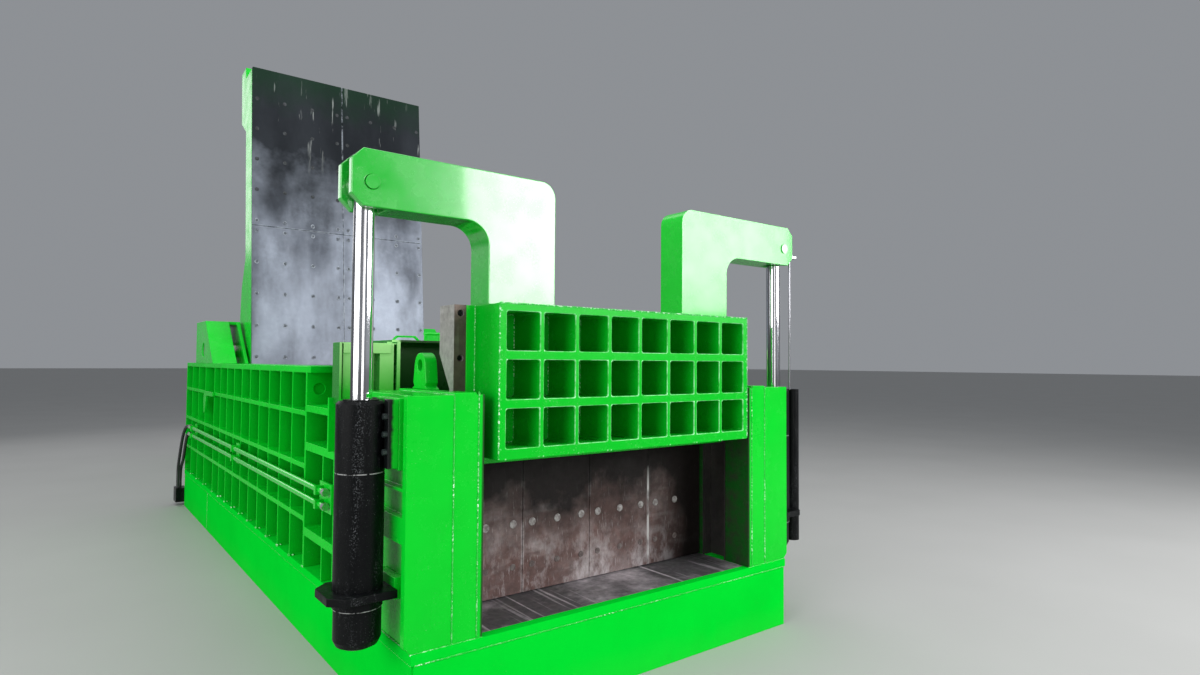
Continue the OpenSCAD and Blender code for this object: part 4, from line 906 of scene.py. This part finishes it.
def new_geometry_tree(name, kinds):
    """A tree from one geometry to another, with more inputs; it also gives their identifiers."""
    tree = bpy.data.node_groups.new(name, "GeometryNodeTree")
    face = tree.interface
    face.new_socket("Places", in_out="INPUT", socket_type="NodeSocketGeometry")
    ids = {label: face.new_socket(label, in_out="INPUT", socket_type=kind).identifier
           for label, kind in kinds.items()}
    face.new_socket("Made", in_out="OUTPUT", socket_type="NodeSocketGeometry")
    return tree, ids, tree.nodes.new("NodeGroupInput").outputs, tree.nodes.new("NodeGroupOutput").inputs


def raised(shape, height):
    lift = add_after("ShaderNodeCombineXYZ", Z=height).outputs[0]
    return add_after("GeometryNodeTransform", Geometry=shape.outputs["Mesh"], Translation=lift).outputs[0]


def bolt_tree():
    tree, ids, given, out = new_geometry_tree("bolt_heads", {
        "Radius": FLOAT, "Height": FLOAT, "Sides": "NodeSocketInt", "Chamfer": FLOAT, "Turn": VECTOR,
        "Finish": "NodeSocketMaterial"})
    body_h = difference(given["Height"], given["Chamfer"])
    body = add(tree, "GeometryNodeMeshCylinder", Vertices=given["Sides"], Radius=given["Radius"], Depth=body_h)
    top_r = difference(given["Radius"], given["Chamfer"])
    crown = add(tree, "GeometryNodeMeshCone", Vertices=given["Sides"], Radius_Bottom=given["Radius"],
                Radius_Top=top_r, Depth=given["Chamfer"])
    both = tree.nodes.new("GeometryNodeJoinGeometry")
    for shape in (raised(body, product(body_h, 0.5)), raised(crown, body_h)):
        give(both.inputs[0], shape)
    turn = add(tree, "FunctionNodeEulerToRotation", Euler=given["Turn"]).outputs[0]
    placed = add(tree, "GeometryNodeInstanceOnPoints", Points=given["Places"], Instance=both.outputs[0],
                 Rotation=turn)
    real = add(tree, "GeometryNodeRealizeInstances", Geometry=placed.outputs[0])
    done = add(tree, "GeometryNodeSetMaterial", Geometry=real.outputs[0], Material=given["Finish"])
    give(out[0], done.outputs[0])
    return tree, ids


def wire_object(name, places, edges=()):
    """A mesh of points, and of edges between them, without a face."""
    mesh = bpy.data.meshes.new(name)
    mesh.from_pydata([tuple(p) for p in places], edges, [])
    return new_object(name, mesh)


def run_tree(piece, tree, ids, values, body):
    """The tree's result as a plain mesh that rides on a body."""
    modifier = piece.modifiers.new("made", "NODES")
    modifier.node_group = tree
    for label, value in values.items():
        modifier[ids[label]] = value
    bpy.context.view_layer.update()
    made = bpy.data.meshes.new_from_object(piece.evaluated_get(bpy.context.evaluated_depsgraph_get()))
    piece.modifiers.clear()
    piece.data = made
    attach(piece, body)


BOLTS, BOLT_IDS = bolt_tree()


def bolt_heads(name, places, radius, height, sides, turn, finish, body, chamfer=0.2):
    piece = wire_object(name, places)
    values = {"Radius": radius, "Height": height, "Sides": sides, "Chamfer": height * chamfer,
              "Turn": turn, "Finish": finish}
    run_tree(piece, BOLTS, BOLT_IDS, values, body)
    print(name, len(places), "heads")


FACE_FRONT = (math.pi / 2, 0.0, 0.0)

# %% [markdown]
# The lid's lining is held by eight columns of bolts. Their heads are flush plugs that were ground
# off, so each shows as a pale disc in a ring. The rows sit beside the plate seams and between them.
# Higher up, plugs and rings are as black as the soot around them, so those are pieces of their own.

# %% Bolts in the lid's lining
HINGE = Vector(next(joint for joint in frame["joints"] if joint["name"] == "lid_hinge")["pos_m"])
LID_LEAN = math.radians(5.17)
LID_DROP = 0.536
SEAM = 1.187
BESIDE = 0.052
BOLT_X = (0.054, 0.309, 0.580, 0.841)
ROW_PITCH = 0.313
ROWS_UP, ROWS_DOWN = 6, 5
LAST_ROW = 2.80
SOOTED = 3.15
LID_TURN = (math.pi / 2 - LID_LEAN, 0.0, 0.0)


def on_lid(x, reach):
    """A point on the lined face at rest: x across, and how far from the hinge's foot to the tip."""
    up = Vector((0, math.sin(LID_LEAN), math.cos(LID_LEAN)))
    outward = Vector((0, -math.cos(LID_LEAN), math.sin(LID_LEAN)))
    return HINGE + Vector((x, 0, 0)) + up * reach + outward * LID_DROP


rows = [SEAM + BESIDE + ROW_PITCH * k for k in range(ROWS_UP)]
rows += [SEAM - BESIDE - ROW_PITCH * k for k in range(ROWS_DOWN)]
lid_spots = [on_lid(side * x, row) for side in (-1, 1) for x in BOLT_X for row in rows if row < LAST_ROW]
clean_spots = [spot for spot in lid_spots if spot.z < SOOTED]
sooted_spots = [spot for spot in lid_spots if spot.z >= SOOTED]
plug_steel = plain_metal("plug_steel", (0.035, 0.04, 0.05), (0.16, 0.18, 0.21), 0.5, 0.2, 70.0)
ring_steel = plain_metal("ring_steel", (0.10, 0.115, 0.14), (0.34, 0.37, 0.42), 0.5, 0.3, 30.0)
soot_plug = plain_metal("soot_plug", (0.010, 0.012, 0.014), (0.055, 0.062, 0.07), 0.6, 0.1, 60.0)
for name, spots, radius, height, sides, finish in (
        ("lid_bolt_rings", clean_spots, 0.021, 0.0016, 24, ring_steel),
        ("lid_sooted_rings", sooted_spots, 0.019, 0.0016, 24, soot_plug),
        ("lid_bolt_plugs", clean_spots, 0.012, 0.0034, 20, plug_steel),
        ("lid_sooted_plugs", sooted_spots, 0.012, 0.0034, 20, soot_plug)):
    bolt_heads(name, spots, radius, height, sides, LID_TURN, finish, "lid")

# %% [markdown]
# The ram's face has plugs too, in the middle of each plate and beside each seam: one row at half
# height, and a duller row below it. The guide bars' bolts sit deep in round pockets.

# %% Plugs in the ram and bolts in the guides
ram_low, ram_high = (Vector(c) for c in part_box("ram_face"))
RAM_PLATES = 4
BESIDE_SEAM = 0.058
LOWER_ROW = 0.22
plate_w = (ram_high.x - ram_low.x) / RAM_PLATES
ram_columns = [ram_low.x + (i + 0.5) * plate_w for i in range(RAM_PLATES)]
ram_columns += [ram_low.x + i * plate_w + side * BESIDE_SEAM for i in range(1, RAM_PLATES) for side in (-1, 1)]
ram_plug = plain_metal("ram_plug", (0.13, 0.11, 0.108), (0.30, 0.285, 0.28), 0.5, 0.2, 50.0)
ram_plug_dim = plain_metal("ram_plug_dim", (0.075, 0.052, 0.05), (0.15, 0.125, 0.12), 0.5, 0.2, 50.0)


def ram_row(name, height, radius, finish):
    spots = [(x, ram_low.y, height) for x in ram_columns]
    bolt_heads(name, spots, radius, 0.002, 20, FACE_FRONT, finish, "ram")


ram_mid = (ram_low.z + ram_high.z) / 2
ram_row("ram_plugs_mid", ram_mid, 0.021, ram_plug)
ram_row("ram_plugs_low", ram_mid - LOWER_ROW, 0.017, ram_plug_dim)

guide_low, guide_high = (Vector(c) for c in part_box("gate_guides"))
POCKET_IN, POCKET_DOWN, POCKET_PITCH, POCKET_DEEP, POCKETS = 0.028, 0.039, 0.210, 0.020, 4
pocket_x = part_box("gate_slab")[1][0] + POCKET_IN
guide_spots = [(side * pocket_x, guide_low.y + POCKET_DEEP, guide_high.z - POCKET_DOWN - k * POCKET_PITCH)
               for side in (-1, 1) for k in range(POCKETS)]
bolt_heads("guide_bolts", guide_spots, 0.013, 0.012, 6, FACE_FRONT, black_main, "gate")

# %% [markdown]
# Welds run along most joints. A bead is a row of small overlapping blobs, so a second tree takes
# lines, cuts them into even steps and puts a squashed ball at each step, a little uneven in size.

# %% Weld beads along lines


def bead_tree():
    tree, ids, given, out = new_geometry_tree("weld_beads", {
        "Width": FLOAT, "Step": FLOAT, "Seed": "NodeSocketInt", "Finish": "NodeSocketMaterial"})
    curve = add(tree, "GeometryNodeMeshToCurve", Mesh=given["Places"])
    steps = add(tree, "GeometryNodeResampleCurve", {"mode": "LENGTH"}, Curve=curve.outputs[0],
                Length=given["Step"])
    points = add(tree, "GeometryNodeCurveToPoints", {"mode": "EVALUATED"}, Curve=steps.outputs[0])
    ball = add(tree, "GeometryNodeMeshIcoSphere", Radius=given["Width"], Subdivisions=1)
    uneven = add(tree, "FunctionNodeRandomValue", {"data_type": "FLOAT"}, Min=0.75, Max=1.15,
                 Seed=given["Seed"])
    placed = add(tree, "GeometryNodeInstanceOnPoints", Points=points.outputs[0], Instance=ball.outputs[0],
                 Scale=uneven.outputs[1])
    real = add(tree, "GeometryNodeRealizeInstances", Geometry=placed.outputs[0])
    even = add(tree, "GeometryNodeSetShadeSmooth", Geometry=real.outputs[0])
    done = add(tree, "GeometryNodeSetMaterial", Geometry=even.outputs[0], Material=given["Finish"])
    give(out[0], done.outputs[0])
    return tree, ids


BEADS, BEAD_IDS = bead_tree()


def weld_paint(name, least):
    material, tree, shader, place = new_material(name, Coat_Weight=0.3, Coat_Roughness=0.05, Roughness=0.12)
    # painted glints: pale spots on the beads stand in for light catching the weld, only in patches
    glint = ramp(noise(place, 95.0, 2.0), 0.52, 0.60)
    here = ramp(noise(place, 4.5, 4.0, 0.6), 0.44, 0.62, least, 1.0)
    colour = blend_colour(product(glint, here), (0.002, 0.5, 0.03), (0.62, 0.96, 0.68))
    feed(shader, Base_Color=colour)
    return material


BEAD_SPACING = 1.35
weld_green = weld_paint("weld_paint", 0.12)


def weld(name, lines, width, body, finish=weld_green, seed=1):
    ends = [p for line in lines for p in line]
    piece = wire_object(name, ends, [(2 * i, 2 * i + 1) for i in range(len(lines))])
    values = {"Width": width, "Step": width * BEAD_SPACING, "Seed": seed, "Finish": finish}
    run_tree(piece, BEADS, BEAD_IDS, values, body)
    print(name, "triangles:", len(piece.data.polygons))


def both_sides(*lines):
    """The same lines on the left and on the right."""
    return [[(side * x, y, z) for x, y, z in line] for side in (-1, 1) for line in lines]


# %% [markdown]
# On the frame the beads show as pale sparkling lines: up both seams of each column, along the
# column feet, under the deck plate, and down the side plate where two lengths of it meet.

# %% Welds on the frame
SEAM_INNER, SEAM_OUTER = 0.911, 1.029
FOOT_INNER, FOOT_OUTER, FOOT_SIDE = 0.884, 1.212, 1.207
SKIRT_SEAM_Y = 4.77
col_high = Vector(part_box("right_column")[1])
base_low, base_high = (Vector(c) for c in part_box("base_frame"))
deck = base_high.z
under_deck = deck - 0.045
column_top = col_high.z - 0.010
skirt_x = base_high.x - 0.004
skirt_end = base_high.x - 0.02

weld("column_welds", both_sides(
    ((SEAM_INNER, 0, deck), (SEAM_INNER, 0, col_high.z)),
    ((SEAM_OUTER, 0, deck), (SEAM_OUTER, 0, column_top)),
    ((FOOT_INNER, 0, deck), (FOOT_OUTER, 0, deck)),
    ((FOOT_SIDE, 0.041, deck), (FOOT_SIDE, 0.615, deck)),
    ((SEAM_OUTER, 0, column_top), (SEAM_OUTER, 0.60, column_top))), 0.0042, "frame")

front = ((-skirt_end, base_low.y, under_deck), (skirt_end, base_low.y, under_deck))
lines = [front] + both_sides(((skirt_x, 0.0, under_deck), (skirt_x, base_high.y - 0.01, under_deck)),
                             ((skirt_x, SKIRT_SEAM_Y, 0.01), (skirt_x, SKIRT_SEAM_Y, under_deck)))
weld("base_welds", lines, 0.0038, "frame", seed=2)

# %% [markdown]
# Each rib of the side wall stands on the deck plate, and the welder stopped at its outer foot.
# The blob left there is coarse and catches the light, so these beads get a paler finish.

# %% Welds at the feet of the ribs
RIB_FIRST, RIB_STEP, RIB_COUNT = 1.570, 0.296, 11
REAR_FIRST, REAR_STEP, REAR_COUNT = 5.001, 0.395, 4
RIB_THICK, FOOT_LONG, BESIDE_RIB = 0.014, 0.022, 0.003
ribs = [RIB_FIRST + k * RIB_STEP for k in range(RIB_COUNT)]
ribs += [REAR_FIRST + k * REAR_STEP for k in range(REAR_COUNT)]
wall_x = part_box("right_wall")[1][0]
foot_z = deck + 0.002
spark_green = weld_paint("weld_spark", 0.70)
feet = [((wall_x - 0.002, y, foot_z), (wall_x - FOOT_LONG, y, foot_z))
        for rib in ribs for y in (rib - BESIDE_RIB, rib + RIB_THICK + BESIDE_RIB)]
weld("rib_feet", both_sides(*feet), 0.0090, "frame", finish=spark_green, seed=5)

# %% [markdown]
# In the gate every pocket is welded round its back edge and, shortly, along its front corners. The ribbed box
# is welded to the slab, and its front rim carries a bead round three sides with more painted glints, which
# makes it paler.

# %% Welds on the gate
back = grid_high.y
rim = grid_low.y + 0.002
CORNER_FROM, CORNER_TO = 0.004, 0.030

lines = []
for i in range(COLUMNS):
    for j in range(ROWS):
        x0 = grid_low.x + RIM_SIDE + i * (pocket_w + RIB)
        z0 = grid_low.z + RIM_BOTTOM + j * (pocket_h + SHELF)
        x1, z1 = x0 + pocket_w, z0 + pocket_h
        corners = [(x0, back, z0), (x1, back, z0), (x1, back, z1), (x0, back, z1)]
        lines += [(corners[k], corners[(k + 1) % 4]) for k in range(4)]
        lines += [((x, grid_low.y + CORNER_FROM, z), (x, grid_low.y + CORNER_TO, z)) for x, y, z in corners]
weld("pocket_welds", lines, 0.0055, "gate", seed=3)

lines = both_sides(((grid_high.x, back, grid_low.z), (grid_high.x, back, grid_high.z - 0.004)),
                   ((grid_high.x, rim, grid_low.z + 0.01), (grid_high.x, rim, grid_high.z - 0.01)))
lines.append(((grid_low.x, rim, grid_high.z), (grid_high.x, rim, grid_high.z)))
lines.append(((grid_low.x, back, grid_low.z), (grid_high.x, back, grid_low.z)))
weld("gate_welds", lines, 0.005, "gate", finish=spark_green, seed=4)
